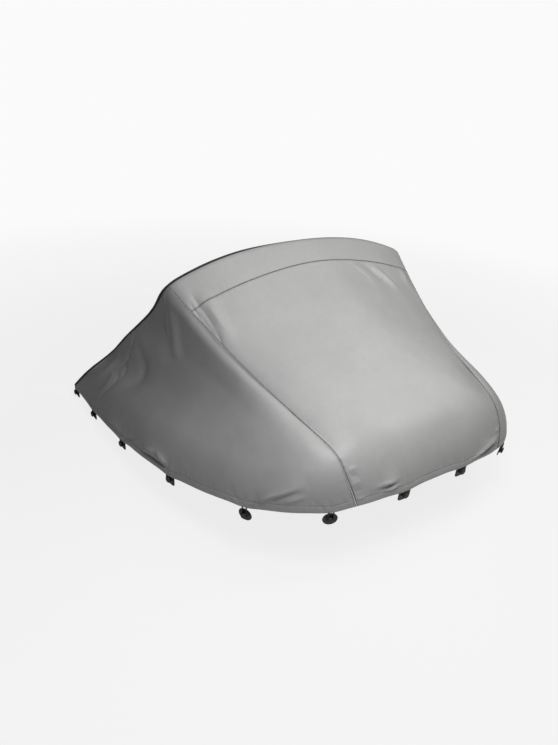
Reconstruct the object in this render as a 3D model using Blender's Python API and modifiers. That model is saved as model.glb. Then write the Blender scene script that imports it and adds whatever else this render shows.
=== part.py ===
"""Bow cover of an inflatable boat, with the rubber studs that it is lashed to.

The cover is sewn from a front panel, a band over the hoop and two side panels. It stretches from the
hoop down over the bow tube and the two side tubes, and short elastic cord loops hold its hem to studs.

Axes: the bow points to -Y, +X is port, +Z is up. The origin is in the hoop's plane, on the centre line,
just under the crown of the hoop band.
"""

import math

import bmesh
import bpy
import numpy as np
from mathutils import Matrix, Vector

# ---------------------------------------------------------------- driving dimensions (metres, degrees)

HALF_BEAM = 0.850            # outer face of a side tube, from the centre line
TUBE_RADIUS = 0.260          # radius of the tube that the hem hugs
BOW_START_Y = 0.606          # where the straight side tubes end and the bow begins to turn in
BOW_LENGTH = 1.617           # from there forward to the bow's front face
BOW_SIDE_POWER = 4.20        # plan of the bow: squarer across the front ...
BOW_FRONT_POWER = 2.52       # ... than along the sides
BOW_RISE = 0.245             # how far the tube's axis has climbed at the front of the bow
BOW_RISE_POWER = 1.81

CLOTH = 0.0012               # coated cloth
HEM_CLOTH = 0.0024           # the hem is folded, two layers
HEM_BAND = 0.035             # width of the folded hem
HEM_Z = 0.013                # the hem's edge between fastenings, above the tube's axis
HEM_PULL = 0.008             # each fastening draws the hem down by this much ...
HEM_PULL_REACH = 0.055       # ... over this length on each side of it
HEM_END_Y = 0.660            # aft end of the hem on each side tube
CORNER_WIDTH = 0.022         # width of the cover at its aft corner ...
CORNER_SHARE = 0.35          # ... of which the binding and the hem take this share each

HOOP_CROWN_Z = 0.902         # crown of the rear edge, above the side tube's axis
HOOP_CORNER_X = 0.648        # shoulder of the hoop, where the long seam starts
HOOP_CORNER_Z = 0.772
HOOP_CROWN_POWER = 2.32
HOOP_BEND_TOP = 0.09         # share of the rear edge that rounds the shoulder, on the band
HOOP_BEND_SIDE = 0.06        # and on the side panel
BAND_WIDTH = 0.151           # rear edge to cross seam

SEAM_FOOT_X = 0.372          # foot of the long seam, on the bow's hem

TAPE = 0.0010                # binding tape
TAPE_LEG = 0.0125            # how far the binding reaches onto the cloth, on both faces
GAP = 0.0003                 # between pieces that touch
SEAM_GAP = 0.0009            # between panels at a seam, so that their mitred inner faces stay clear
TAPE_CLEAR = 0.0008          # between the tape's legs and the cloth

CORD = 0.005                 # elastic cord
CORD_CLEAR = 0.0008          # from a cord's cut end to the hem's edge, which runs at a slant
CORD_RISE = 0.25             # share of a strand in which it rises from the hem to clear the pad
NECK_RADIUS = 0.008          # stud neck, under its button
NECK_HEIGHT = 0.0065
BUTTON_RADIUS = 0.0135
BUTTON_HEIGHT = 0.006
PAD_HEIGHT = 0.004
PAD_CLEAR = 0.0024           # from a pad's outer face up to the hem that crosses it
STUD_BASE = -(HEM_CLOTH + PAD_CLEAR + PAD_HEIGHT)    # back of a stud, below the cover's outer face
ROUND_PAD_RADIUS = 0.028
SQUARE_PAD_WIDTH = 0.058
SQUARE_PAD_HEIGHT = 0.052
PAD_CORNER = 0.013
STUD_STEPS = 12              # sides of a stud's turned surfaces

LOOP_SPREAD = 0.8            # half the width between a loop's cut ends, as a share of that round the neck
LOOP_STEPS = 8               # points of a loop's bend round the neck

# The outline of a stud's button, and of its round pad, as shares of their radius and height.
BUTTON_OUTLINE = [
    # radius, height
    (0.00, 1.00),
    (0.62, 0.88),
    (1.00, 0.45),
    (0.92, 0.00),
]
PAD_OUTLINE = [
    # radius, height
    (0.86, 1.00),
    (1.00, 0.40),
    (1.00, 0.00),
    (0.00, 0.00),
]
PAD_CORNER_STEPS = 3         # facets of a square pad's rounded corner
SHARP_ANGLE = 35.0           # a stud's edges sharper than this are shaded as edges

FRONT_STEP = 0.072           # widest mesh column of the front panel and the band, in "around"
SIDE_STEP = 0.040            # and of a side panel
CORNER_START = 1.925         # from here to the aft corner the columns are narrower ...
CORNER_STEP = 0.015          # ... and no wider than this
STEP_SLACK = 1e-6            # a span longer than a whole number of steps by less than this takes no more
FRONT_ROWS = 16
BAND_ROWS = 4

PLAN_SAMPLES = 1201          # points of the hem's plan round the bow
DIRECTION_REACH = 0.03       # the hem's direction at a place is taken over this length each way
NORMAL_REACH = 0.004         # and the cloth's slope over this much of "around" and "down"
RUN_SAMPLES = 25             # points along a run of cloth when it is measured
FOLD_SAMPLES = 15            # points along a fold
FOLD_END = 0.04              # share of a fold's length at each end in which its height no longer fades

# The slanting rear edge of a side, between the hoop's shoulder and the aft corner, which are worked out.
# "around" is 1 at the shoulder and 2 at the corner. From the third row on the edge lies on the tube.
REAR_EDGE = [
    # around, x out, y aft, z above the tube's axis
    (1.25, 0.627, 0.194, 0.573),
    (1.50, 0.668, 0.351, 0.413),
    (1.75, 0.720, 0.510, 0.237),
    (1.84, 0.778, 0.534, 0.184),
    (1.92, 0.823, 0.578, 0.119),
]

# How the cloth is stretched on its way from the rear edge to the hem. "around" is 0 at the centre line,
# 1 at the long seam and 2 at the aft corner. "leave" is the angle on the tube at which the cloth meets
# it, "slant" is how far along the hem that place lies from the run's foot, and "sag" is how far the run
# hangs below a straight one, as a share of it. The handles say how soon it turns, at either end.
STRETCH = [
    # around, leave, slant, sag, first handle, last handle
    (0.0, 65.5, 0.000, 0.013, 0.333, 0.333),
    (0.5, 61.5, 0.015, 0.068, 0.467, 0.227),
    (1.0, 40.0, 0.043, 0.110, 0.600, 0.120),
    (1.5, 47.5, 0.012, -0.026, 0.333, 0.333),
    (1.75, 42.5, 0.000, -0.014, 0.333, 0.333),
    (1.9, 26.0, 0.000, -0.006, 0.333, 0.333),
    (2.0, 4.0, 0.000, 0.000, 0.333, 0.333),
]
SEAM_STATION = 2             # the row of the long seam: the cloth is creased there, and smooth on each side
RUN_STEPS = 6                # rounds in which the even progress along a run is worked out

# The long seam strays a little from its run: "down" is 0 at the rear edge and 1 at the hem.
SEAM_SWING = [
    # down, swing
    (0.00, 0.000),
    (0.25, -0.022),
    (0.50, -0.009),
    (0.75, 0.010),
    (1.00, 0.000),
]

# Main folds, each a soft ridge (or a trough, where its height is negative) along a straight line in the
# cover's own coordinates. "around" is negative on the starboard side.
FOLDS = [
    # around, down, to_around, to_down, width, height
    (-0.84, 0.06, -0.93, 0.30, 0.030, 0.008),     # drawn from the starboard end of the cross seam
    (-0.92, 0.07, -1.00, 0.28, 0.028, -0.006),
    (0.34, 0.13, 0.49, 0.25, 0.030, 0.006),       # fan under the port half of the cross seam
    (0.45, 0.13, 0.66, 0.26, 0.028, -0.005),
    (0.53, 0.13, 0.74, 0.26, 0.030, 0.006),
    (0.87, 0.11, 0.89, 0.24, 0.030, 0.006),
    (-1.03, 0.02, -1.38, 0.31, 0.038, 0.011),     # ridges over the legs of the hoop
    (1.03, 0.02, 1.34, 0.28, 0.038, 0.009),
    (-1.93, 0.34, -1.64, 0.06, 0.032, 0.008),     # drawn from the aft corners
    (-1.82, 0.72, -1.49, 0.08, 0.036, -0.008),
    (1.92, 0.36, 1.62, 0.08, 0.032, 0.007),
    (1.80, 0.66, 1.52, 0.14, 0.036, -0.007),
    (-1.57, 0.93, -1.45, 0.93, 0.034, 0.011),     # slack between fastenings, just above the hem
    (-1.76, 0.88, -1.67, 0.92, 0.032, 0.007),
    (-1.20, 0.96, -1.08, 0.90, 0.032, 0.008),
    (-0.72, 0.96, -0.48, 0.94, 0.032, 0.007),
    (0.62, 0.96, 0.96, 0.97, 0.032, 0.007),
    (1.50, 0.94, 1.40, 0.92, 0.034, 0.009),
    (1.74, 0.90, 1.64, 0.93, 0.032, 0.006),
]

# Fastenings of one side, along the hem from the centre line: arc along the hem, angle on the tube, pad.
FASTENINGS = [
    # name, arc, angle, pad
    ("bow_inner", 0.152, -2.5, "square"),
    ("bow_corner", 0.466, -6.4, "round"),
    ("shoulder", 0.786, -7.4, "round"),
    ("forward", 1.195, -2.5, "square"),
    ("middle", 1.600, -2.5, "square"),
    ("aft", 1.940, -2.8, "square"),
    ("corner", 2.190, -3.0, "square"),
]

SIDES = {"port": 1, "starboard": -1}

GREY_CLOTH = (0.33, 0.33, 0.33, 1.0)
BLACK_TAPE = (0.012, 0.012, 0.013, 1.0)
BLACK_RUBBER = (0.016, 0.016, 0.017, 1.0)
BLACK_CORD = (0.010, 0.010, 0.011, 1.0)

UP = np.array([0.0, 0.0, 1.0])


# ---------------------------------------------------------------- curves and tables


def column(table, index):
    """One column of a table, as an array."""
    return np.array([row[index] for row in table], dtype=float)


def smooth_through(knots, values, at, level_start=False):
    """Natural cubic spline through (knots, values), read at the places 'at'."""
    count, step = len(knots), np.diff(knots)
    matrix, right = np.zeros((count, count)), np.zeros(count)
    matrix[0, 0] = matrix[-1, -1] = 1.0
    if level_start:
        matrix[0, :2] = 2.0 * step[0], step[0]
        right[0] = 6.0 * (values[1] - values[0]) / step[0]
    for i in range(1, count - 1):
        matrix[i, i - 1:i + 2] = step[i - 1], 2.0 * (step[i - 1] + step[i]), step[i]
        right[i] = 6.0 * ((values[i + 1] - values[i]) / step[i] - (values[i] - values[i - 1]) / step[i - 1])
    bend = np.linalg.solve(matrix, right)
    at = np.clip(at, knots[0], knots[-1])
    i = np.clip(np.searchsorted(knots, at) - 1, 0, count - 2)
    before, after, span = at - knots[i], knots[i + 1] - at, step[i]
    curved = (bend[i] * after ** 3 + bend[i + 1] * before ** 3) / (6.0 * span)
    first = (values[i] / span - bend[i] * span / 6.0) * after
    second = (values[i + 1] / span - bend[i + 1] * span / 6.0) * before
    return curved + first + second


def bow_plan():
    """The hem's plan on the port side, as arc length, x and y."""
    turn = np.linspace(math.pi / 2, 0.0, PLAN_SAMPLES)
    x = HALF_BEAM * np.abs(np.cos(turn)) ** (2.0 / BOW_SIDE_POWER)
    y = BOW_START_Y - BOW_LENGTH * np.sin(turn) ** (2.0 / BOW_FRONT_POWER)
    x[0] = 0.0
    x, y = np.append(x, HALF_BEAM), np.append(y, BOW_START_Y + HALF_BEAM)
    arc = np.concatenate([[0.0], np.cumsum(np.hypot(np.diff(x), np.diff(y)))])
    return arc, x, y


PLAN_ARC, PLAN_X, PLAN_Y = bow_plan()
SEAM_ARC = float(np.interp(SEAM_FOOT_X, PLAN_X, PLAN_ARC))
END_ARC = float(np.interp(HEM_END_Y, PLAN_Y, PLAN_ARC))


def plan_at(arc):
    """Plan position at an arc length along the hem; it mirrors itself across the centre line."""
    return np.interp(np.abs(arc), PLAN_ARC, PLAN_X) * np.sign(arc), np.interp(np.abs(arc), PLAN_ARC, PLAN_Y)


def tube_frame(arc):
    """Centre of the tube's section at an arc length along the hem, and the way out of the boat."""
    x, y = plan_at(arc)
    ahead, behind = plan_at(arc + DIRECTION_REACH), plan_at(arc - DIRECTION_REACH)
    along_x, along_y = ahead[0] - behind[0], ahead[1] - behind[1]
    length = np.hypot(along_x, along_y)
    outward = np.stack([along_y / length, -along_x / length, 0.0 * x], axis=-1)
    rise = BOW_RISE * np.clip((BOW_START_Y - y) / BOW_LENGTH, 0.0, 1.0) ** BOW_RISE_POWER
    return np.stack([x, y, rise], axis=-1) - TUBE_RADIUS * outward, outward


def hem_angle(arc):
    """Angle on the tube of the hem's edge, drawn down at each fastening."""
    pull = sum(np.exp(-((np.abs(arc) - row[1]) / HEM_PULL_REACH) ** 2) for row in FASTENINGS)
    return math.asin(HEM_Z / TUBE_RADIUS) - HEM_PULL * pull / TUBE_RADIUS


def on_tube(arc, angle, lift=0.0):
    """A point on the tube, at an angle above its axis and a height above its surface."""
    centre, outward = tube_frame(arc)
    cosine, sine = np.cos(angle)[..., None], np.sin(angle)[..., None]
    return centre + (TUBE_RADIUS + lift) * (cosine * outward + sine * UP)


def sharp_rear_edge(around):
    """Rear edge before its shoulder is rounded: over the hoop, then slanting down to the aft corner."""
    top = np.clip(around, 0.0, 1.0)
    height = HOOP_CROWN_Z - (HOOP_CROWN_Z - HOOP_CORNER_Z) * top ** HOOP_CROWN_POWER
    over_hoop = np.stack([HOOP_CORNER_X * top, 0.0 * top, height], axis=-1)
    end = np.array([END_ARC])
    corner = on_tube(end, hem_angle(end) + CORNER_WIDTH / TUBE_RADIUS)
    knots = np.vstack([[1.0, HOOP_CORNER_X, 0.0, HOOP_CORNER_Z], REAR_EDGE, [2.0, *corner[0]]])
    slanting = np.stack([smooth_through(knots[:, 0], knots[:, axis], around) for axis in (1, 2, 3)], axis=-1)
    return np.where((around > 1.0)[..., None], slanting, over_hoop)


def rear_edge(around):
    """Rear edge of the port half, with the hoop's shoulder rounded."""
    start, end = 1.0 - HOOP_BEND_TOP, 1.0 + HOOP_BEND_SIDE
    on_band = (around - start) / HOOP_BEND_TOP * 0.5
    on_side = 0.5 + (around - 1.0) / HOOP_BEND_SIDE * 0.5
    t = np.clip(np.where(around < 1.0, on_band, on_side), 0.0, 1.0)[..., None]
    first, middle, last = sharp_rear_edge(np.array([start, 1.0, end]))
    bend = (1 - t) ** 2 * first + 2 * t * (1 - t) * middle + t ** 2 * last
    in_bend = (around > start) & (around < end)
    return np.where(in_bend[..., None], bend, sharp_rear_edge(around))


# ---------------------------------------------------------------- the stretched cloth


def stretch_at(around, index):
    """One column of the stretch table, smooth over the front and over each side."""
    stations, values = column(STRETCH, 0), column(STRETCH, index)
    ahead, beside = slice(0, SEAM_STATION + 1), slice(SEAM_STATION, None)
    over_front = smooth_through(stations[ahead], values[ahead], np.minimum(around, 1.0), level_start=True)
    over_side = smooth_through(stations[beside], values[beside], np.maximum(around, 1.0))
    return np.where(around < 1.0, over_front, over_side)


def along_run(progress, first_handle, last_handle):
    """The curve's own parameter at which a run has come this share of its way."""
    t = progress.copy()
    for _ in range(RUN_STEPS):
        rest = 1.0 - t
        come = 3.0 * rest ** 2 * t * first_handle + 3.0 * rest * t ** 2 * (1.0 - last_handle) + t ** 3
        speed = 3.0 * first_handle * rest ** 2 + 3.0 * last_handle * t ** 2
        speed = speed + 6.0 * (1.0 - first_handle - last_handle) * rest * t
        t = np.clip(t - (come - progress) / speed, 0.0, 1.0)
    return t


def hem_arc(around):
    """Arc length along the hem of a run's foot, on the port side."""
    return np.where(around < 1.0, SEAM_ARC * around, SEAM_ARC + (END_ARC - SEAM_ARC) * (around - 1.0))


def cloth_half(around, down):
    """Points of the cover's outer face on the port side, before folds."""
    swing = smooth_through(column(SEAM_SWING, 0), column(SEAM_SWING, 1), down)
    around = around + swing * np.where(around < 1.0, around, 2.0 - around)
    leave, slant, sag, first_handle, last_handle = (stretch_at(around, index) for index in range(1, 6))
    arc, leave = hem_arc(around), np.radians(leave)
    start = rear_edge(around)
    touch = on_tube(arc + slant, leave)
    _, outward = tube_frame(arc + slant)
    hem = hem_angle(arc)
    wrap = TUBE_RADIUS * (leave - hem)
    travel = np.hypot(wrap, slant)
    ahead = np.stack([-outward[..., 1], outward[..., 0], 0.0 * slant], axis=-1)
    around_tube = np.sin(leave)[..., None] * outward - np.cos(leave)[..., None] * UP
    tangent = ((wrap / travel)[..., None] * around_tube) - (slant / travel)[..., None] * ahead
    length = np.linalg.norm(touch - start, axis=-1)
    share = length / (length + travel)
    first = start + first_handle[..., None] * (touch - start) - UP * (sag * length)[..., None]
    second = touch - tangent * (last_handle * length)[..., None]
    t = along_run(np.clip(down / share, 0.0, 1.0), first_handle, last_handle)[..., None]
    free = (1 - t) ** 3 * start + 3 * t * (1 - t) ** 2 * first
    free = free + 3 * t ** 2 * (1 - t) * second + t ** 3 * touch
    wrapped = np.clip((down - share) / (1.0 - share), 0.0, 1.0)
    on_the_tube = on_tube(arc + slant * (1.0 - wrapped), leave - (leave - hem) * wrapped)
    return np.where((down <= share)[..., None], free, on_the_tube)


def plain_cloth(around, down):
    """Points of the outer face on either side: starboard has a negative 'around'."""
    around, down = np.broadcast_arrays(np.asarray(around, float), np.asarray(down, float))
    points = cloth_half(np.abs(around), down)
    points[..., 0] *= np.where(around < 0.0, -1.0, 1.0)
    return points


def run_length(around):
    """Length of a run of cloth from rear edge to hem, along its control line."""
    samples = np.linspace(0.0, 1.0, RUN_SAMPLES)
    points = plain_cloth(np.asarray(around, float)[:, None], samples[None, :])
    return np.linalg.norm(np.diff(points, axis=1), axis=-1).sum(axis=1)


def fold_lines():
    """Centre line of each fold as points on the plain cloth, with its width and height."""
    steps = np.linspace(0.0, 1.0, FOLD_SAMPLES)
    for around, down, to_around, to_down, width, height in FOLDS:
        line = plain_cloth(around + (to_around - around) * steps, down + (to_down - down) * steps)
        yield line, steps, width, height


FOLD_LINES = list(fold_lines())


def fold_height(points):
    """How far the folds lift the cloth at each point: round in section, fading to nothing at both ends."""
    lift = np.zeros(points.shape[:-1])
    for line, steps, width, height in FOLD_LINES:
        distance = np.linalg.norm(points[..., None, :] - line, axis=-1)
        nearest = distance.argmin(axis=-1)
        fade = np.sin(math.pi * np.clip(steps[nearest], FOLD_END, 1.0 - FOLD_END))
        lift += height * fade * np.exp(-(distance.min(axis=-1) / width) ** 2)
    return lift


def cloth_normal(around, down):
    """Outward normal of the plain cloth."""
    low, high = np.clip(down - NORMAL_REACH, 0.0, 1.0), np.clip(down + NORMAL_REACH, 0.0, 1.0)
    across = plain_cloth(around + NORMAL_REACH, down) - plain_cloth(around - NORMAL_REACH, down)
    downward = plain_cloth(around, high) - plain_cloth(around, low)
    normal = np.cross(downward, across)
    return normal / np.linalg.norm(normal, axis=-1, keepdims=True)


def cloth(around, down):
    """Points of the cover's outer face, folds included, and the normals there."""
    around, down = np.broadcast_arrays(np.asarray(around, float), np.asarray(down, float))
    points, normals = plain_cloth(around, down), cloth_normal(around, down)
    return points + normals * fold_height(points)[..., None], normals


# ---------------------------------------------------------------- placing, materials, mesh helpers

ORIGIN_ABOVE_TUBE = HOOP_CROWN_Z - CLOTH


def placed(points):
    """Move points from heights above the tube's axis to the part's own origin."""
    return points - UP * ORIGIN_ABOVE_TUBE


def principled(name, colour, roughness, metallic=0.0):
    """A plain Principled material."""
    material = bpy.data.materials.new(name)
    material.use_nodes = True
    shader = material.node_tree.nodes["Principled BSDF"]
    shader.inputs["Base Color"].default_value = colour
    shader.inputs["Roughness"].default_value = roughness
    shader.inputs["Metallic"].default_value = metallic
    return material


def clear_scene():
    """Remove the objects of the start-up scene."""
    for item in list(bpy.data.objects):
        bpy.data.objects.remove(item, do_unlink=True)


def new_object(name, mesh, material, collection, parent):
    """Link an object into the part's collection."""
    item = bpy.data.objects.new(name, mesh)
    if not mesh.materials:
        mesh.materials.append(material)
    collection.objects.link(item)
    item.parent = parent
    return item


def grid_mesh(name, points):
    """A sheet of points, rows first, as one open grid. With columns to port, rows run up the outer face."""
    rows, columns = points.shape[:2]
    sheet = bmesh.new()
    bmesh.ops.create_grid(sheet, x_segments=columns - 1, y_segments=rows - 1, size=1.0)
    sheet.verts.ensure_lookup_table()
    for vertex, place in zip(sheet.verts, points.reshape(-1, 3)):
        vertex.co = place
    mesh = bpy.data.meshes.new(name)
    sheet.to_mesh(mesh)
    sheet.free()
    mesh.shade_smooth()
    return mesh


def thicken(item, thickness, offset, thick_group="", thin_share=1.0):
    """Give an open sheet its thickness."""
    shell = item.modifiers.new("thickness", "SOLIDIFY")
    shell.thickness = thickness
    shell.offset = offset
    shell.use_even_offset = False
    if thick_group:
        shell.vertex_group = thick_group
        shell.thickness_vertex_group = thin_share
    return shell


# ---------------------------------------------------------------- panels


def pull_in(points, rows_first, rows_last, columns_first, columns_last):
    """Draw a sheet's four edges in by half a gap each, so that it stays clear of its neighbours."""
    drawn = points.copy()
    for axis, index, neighbour, gap in (
        (0, 0, 1, rows_first), (0, -1, -2, rows_last), (1, 0, 1, columns_first), (1, -1, -2, columns_last),
    ):
        edge, inner = np.take(points, index, axis), np.take(points, neighbour, axis)
        inward = (inner - edge) / np.linalg.norm(inner - edge, axis=-1, keepdims=True)
        target = (index, slice(None)) if axis == 0 else (slice(None), index)
        drawn[target] = drawn[target] + inward * gap
    return drawn


def front_rows(around):
    """Down-coordinates of the rows below the cross seam; the last two rows are the hem band."""
    length = run_length(around)
    seam, hem = BAND_WIDTH / length, 1.0 - HEM_BAND / length
    share = np.linspace(0.0, 1.0, FRONT_ROWS + 1)[:, None]
    return np.vstack([seam + (hem - seam) * share, np.ones_like(length)[None, :]])


def band_rows(around):
    """Down-coordinates of the hoop band's rows; the first two rows lie in the binding."""
    length = run_length(around)
    tape, seam = TAPE_LEG / length, BAND_WIDTH / length
    share = np.linspace(0.0, 1.0, BAND_ROWS + 1)[:, None]
    return np.vstack([np.zeros_like(length)[None, :], tape + (seam - tape) * share])


def side_rows(around):
    """Down-coordinates of a side panel's rows, which meet those of the band and the front panel."""
    length = run_length(around)
    seam_rows = np.concatenate([band_rows(around[:1])[1:, 0], front_rows(around[:1])[1:-1, 0]])
    share = (seam_rows - seam_rows[0]) / (seam_rows[-1] - seam_rows[0])
    tape = np.minimum(TAPE_LEG / length, CORNER_SHARE)
    hem = 1.0 - np.minimum(HEM_BAND / length, CORNER_SHARE)
    inner = tape + (hem - tape) * share[:, None]
    return np.vstack([np.zeros_like(length)[None, :], inner, np.ones_like(length)[None, :]])


def filled(anchors, widest):
    """The anchors, in order, with even steps between them that are no wider than given."""
    places = [anchors[0]]
    for start, end in zip(anchors, anchors[1:]):
        steps = math.ceil((end - start) / widest - STEP_SLACK)
        places += [start + (end - start) * (i + 1) / steps for i in range(steps)]
    return np.array(places)


def half_columns():
    """Around-coordinates of the front panel's columns on the port side, one at each fastening."""
    fastened = [row[1] / SEAM_ARC for row in FASTENINGS if row[1] < SEAM_ARC]
    bend = 1.0 - HOOP_BEND_TOP
    return np.append(filled([0.0, *fastened, bend], FRONT_STEP), [1.0 - HOOP_BEND_TOP / 2, 1.0])


def front_columns():
    """Around-coordinates of the columns between the two long seams."""
    half = half_columns()
    return np.concatenate([-half[:0:-1], half])


def side_columns():
    """Around-coordinates of a side panel's columns, one at each fastening."""
    side_arc = END_ARC - SEAM_ARC
    fastened = [1.0 + (row[1] - SEAM_ARC) / side_arc for row in FASTENINGS if row[1] > SEAM_ARC]
    bend = 1.0 + HOOP_BEND_SIDE
    first = [bend, fastened[0]] if fastened[0] > bend else [fastened[0], bend]
    wide = filled([*first, *fastened[1:-1], CORNER_START], SIDE_STEP)
    return np.concatenate([[1.0], wide, filled([CORNER_START, 2.0], CORNER_STEP)[1:]])


def add_panel(name, around, down, gaps, parts, material, hem_rows=0):
    """One panel of the cover: a sheet of the stretched cloth with its thickness on the inside."""
    points, _ = cloth(np.broadcast_to(around, down.shape), down)
    points = placed(pull_in(points, *gaps))
    item = new_object(name, grid_mesh(name, points[:, ::-1]), material, *parts)
    if hem_rows:
        rows, columns = down.shape
        group = item.vertex_groups.new(name="hem")
        group.add(list(range((rows - hem_rows) * columns, rows * columns)), 1.0, "REPLACE")
        thicken(item, HEM_CLOTH, -1.0, "hem", CLOTH / HEM_CLOTH)
    else:
        thicken(item, CLOTH, -1.0)
    return item


def add_front(parts, material):
    """The front panel, from the cross seam down to the bow's hem."""
    around, half = front_columns(), SEAM_GAP / 2
    return add_panel("panel_front", around, front_rows(around), (half, 0.0, half, half), parts, material, 2)


def add_band(parts, material):
    """The band over the hoop, between the cross seam and the rear edge."""
    around, half = front_columns(), SEAM_GAP / 2
    return add_panel("panel_hoop_band", around, band_rows(around), (GAP, half, half, half), parts, material)


def add_side(side, parts, material):
    """One side panel."""
    around = side_columns()
    down, half = side_rows(around), SEAM_GAP / 2
    if SIDES[side] > 0:
        signed, gaps = around, (GAP, 0.0, half, 0.0)
    else:
        signed, down, gaps = -around[::-1], down[:, ::-1], (GAP, 0.0, 0.0, half)
    return add_panel("panel_side_" + side, signed, down, gaps, parts, material, 2)


# ---------------------------------------------------------------- binding


def rim_rows(panel, columns):
    """The two topmost rows of a panel, starboard end first: edge, its normals, tape line, its normals."""
    corners = panel.data.vertices[:2 * columns]
    points = np.array([corner.co for corner in corners]).reshape(2, columns, 3)[:, ::-1]
    normals = np.array([corner.normal for corner in corners]).reshape(2, columns, 3)[:, ::-1]
    return np.stack([points[0], normals[0], points[1], normals[1]])


def rear_rim(starboard, band, port):
    """The rims of the three panels on the rear edge as one, with the two sides of each seam averaged."""
    side, top = len(side_columns()), len(front_columns())
    right, middle, left = rim_rows(starboard, side), rim_rows(band, top), rim_rows(port, side)
    first_seam = (right[:, -1:] + middle[:, :1]) / 2
    last_seam = (middle[:, -1:] + left[:, :1]) / 2
    return np.concatenate([right[:, :-1], first_seam, middle[:, 1:-1], last_seam, left[:, 1:]], axis=1)


def add_binding(panels, parts, material):
    """The tape folded over the rear edge, from one aft corner to the other."""
    edge, normal, leg, leg_normal = rear_rim(*panels)
    inward = (leg - edge) / np.linalg.norm(leg - edge, axis=-1, keepdims=True)
    above, below = TAPE_CLEAR, -(CLOTH + TAPE_CLEAR)
    fold = edge - inward * GAP
    upper_leg = [leg + leg_normal * above, fold + normal * above]
    lower_leg = [fold + normal * below, leg + leg_normal * below]
    mesh = grid_mesh("binding_rear_edge", np.stack(upper_leg + lower_leg))
    item = new_object("binding_rear_edge", mesh, material, *parts)
    thicken(item, TAPE, 1.0)


# ---------------------------------------------------------------- fastenings


def turned_mesh(name, profile):
    """A closed turned body from (radius, height) pairs that start and end on the axis."""
    outline = bpy.data.meshes.new(name)
    points = [(radius, 0.0, height) for radius, height in profile]
    outline.from_pydata(points, [(i, i + 1) for i in range(len(points) - 1)], [])
    item = bpy.data.objects.new(name, outline)
    bpy.context.scene.collection.objects.link(item)
    turn = item.modifiers.new("turn", "SCREW")
    turn.steps = turn.render_steps = STUD_STEPS
    turn.use_merge_vertices = True
    turn.merge_threshold = 0.0001
    return evaluated_copy(item, name)


def evaluated_copy(item, name):
    """The mesh of an object with its modifiers applied; the object itself is removed."""
    graph = bpy.context.evaluated_depsgraph_get()
    mesh = bpy.data.meshes.new_from_object(item.evaluated_get(graph))
    mesh.name = name
    bpy.data.objects.remove(item, do_unlink=True)
    return mesh


def button_profile(start):
    """Neck and rounded button of a stud, as (radius, height), from the top down to a start height."""
    neck_top = PAD_HEIGHT + NECK_HEIGHT
    button = [(BUTTON_RADIUS * radius, neck_top + BUTTON_HEIGHT * height)
              for radius, height in BUTTON_OUTLINE]
    return [*button, (NECK_RADIUS, neck_top), (NECK_RADIUS, start)]


def round_stud_mesh():
    """A stud on a round pad with a bevelled rim."""
    pad = [(ROUND_PAD_RADIUS * radius, PAD_HEIGHT * height) for radius, height in PAD_OUTLINE]
    return turned_mesh("lashing_stud_round", button_profile(PAD_HEIGHT) + pad)


def square_stud_mesh():
    """A stud on a square pad with rounded corners."""
    body = bmesh.new()
    bmesh.ops.create_cube(body, size=1.0)
    bmesh.ops.scale(body, vec=(SQUARE_PAD_WIDTH, SQUARE_PAD_HEIGHT, PAD_HEIGHT), verts=body.verts)
    bmesh.ops.translate(body, vec=(0.0, 0.0, PAD_HEIGHT / 2), verts=body.verts)
    upright = [edge for edge in body.edges if abs(edge.verts[0].co.z - edge.verts[1].co.z) > PAD_HEIGHT / 2]
    bmesh.ops.bevel(
        body, geom=upright, offset=PAD_CORNER, segments=PAD_CORNER_STEPS, profile=0.5, affect="EDGES",
    )
    mesh = bpy.data.meshes.new("lashing_stud_square")
    body.to_mesh(mesh)
    body.free()
    pad = bpy.data.objects.new("square_pad", mesh)
    inside = PAD_HEIGHT / 2
    neck_mesh = turned_mesh("stud_neck", button_profile(inside) + [(0.0, inside)])
    neck = bpy.data.objects.new("stud_neck", neck_mesh)
    for item in (pad, neck):
        bpy.context.scene.collection.objects.link(item)
    join = pad.modifiers.new("join", "BOOLEAN")
    join.operation = "UNION"
    join.object = neck
    joined = evaluated_copy(pad, "lashing_stud_square")
    bpy.data.objects.remove(neck, do_unlink=True)
    return joined


def fastening_frame(side, arc, angle):
    """Placement of a stud: X along the hem, Y up the tube, Z out of the boat, with its back at Z 0."""
    signed = np.array([SIDES[side] * arc])
    place = placed(on_tube(signed, np.array([math.radians(angle)]), STUD_BASE))[0]
    _, outward = tube_frame(signed)
    turn = math.radians(angle)
    out = Vector(outward[0]) * math.cos(turn) + Vector((0.0, 0.0, math.sin(turn)))
    along = Vector((0.0, 0.0, 1.0)).cross(out).normalized()
    up = out.cross(along)
    frame = Matrix((along, up, out)).transposed().to_4x4()
    return Matrix.Translation(Vector(place)) @ frame


def loop_path(frame, side, arc):
    """Centre line of a cord loop: from the hem's edge down round the neck and back up."""
    reach = NECK_RADIUS + GAP + CORD / 2
    height = PAD_HEIGHT + GAP + CORD / 2
    under = [
        Vector((-reach * math.cos(turn), -reach * math.sin(turn), height))
        for turn in np.linspace(0.0, math.pi, LOOP_STEPS)
    ]
    inverse = frame.inverted()
    spread = LOOP_SPREAD * reach
    ends = []
    for shift in (-spread, spread):
        point = inverse @ Vector(hem_edge(SIDES[side] * min(arc + shift, END_ARC - CORD)))
        ends.append(point - Vector((0.0, CORD_CLEAR, 0.0)))
    left, right = sorted(ends, key=lambda point: point.x)
    over_left, over_right = left.lerp(under[0], CORD_RISE), right.lerp(under[-1], CORD_RISE)
    over_left.z = over_right.z = height
    return [left, over_left, *under, over_right, right]


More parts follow.
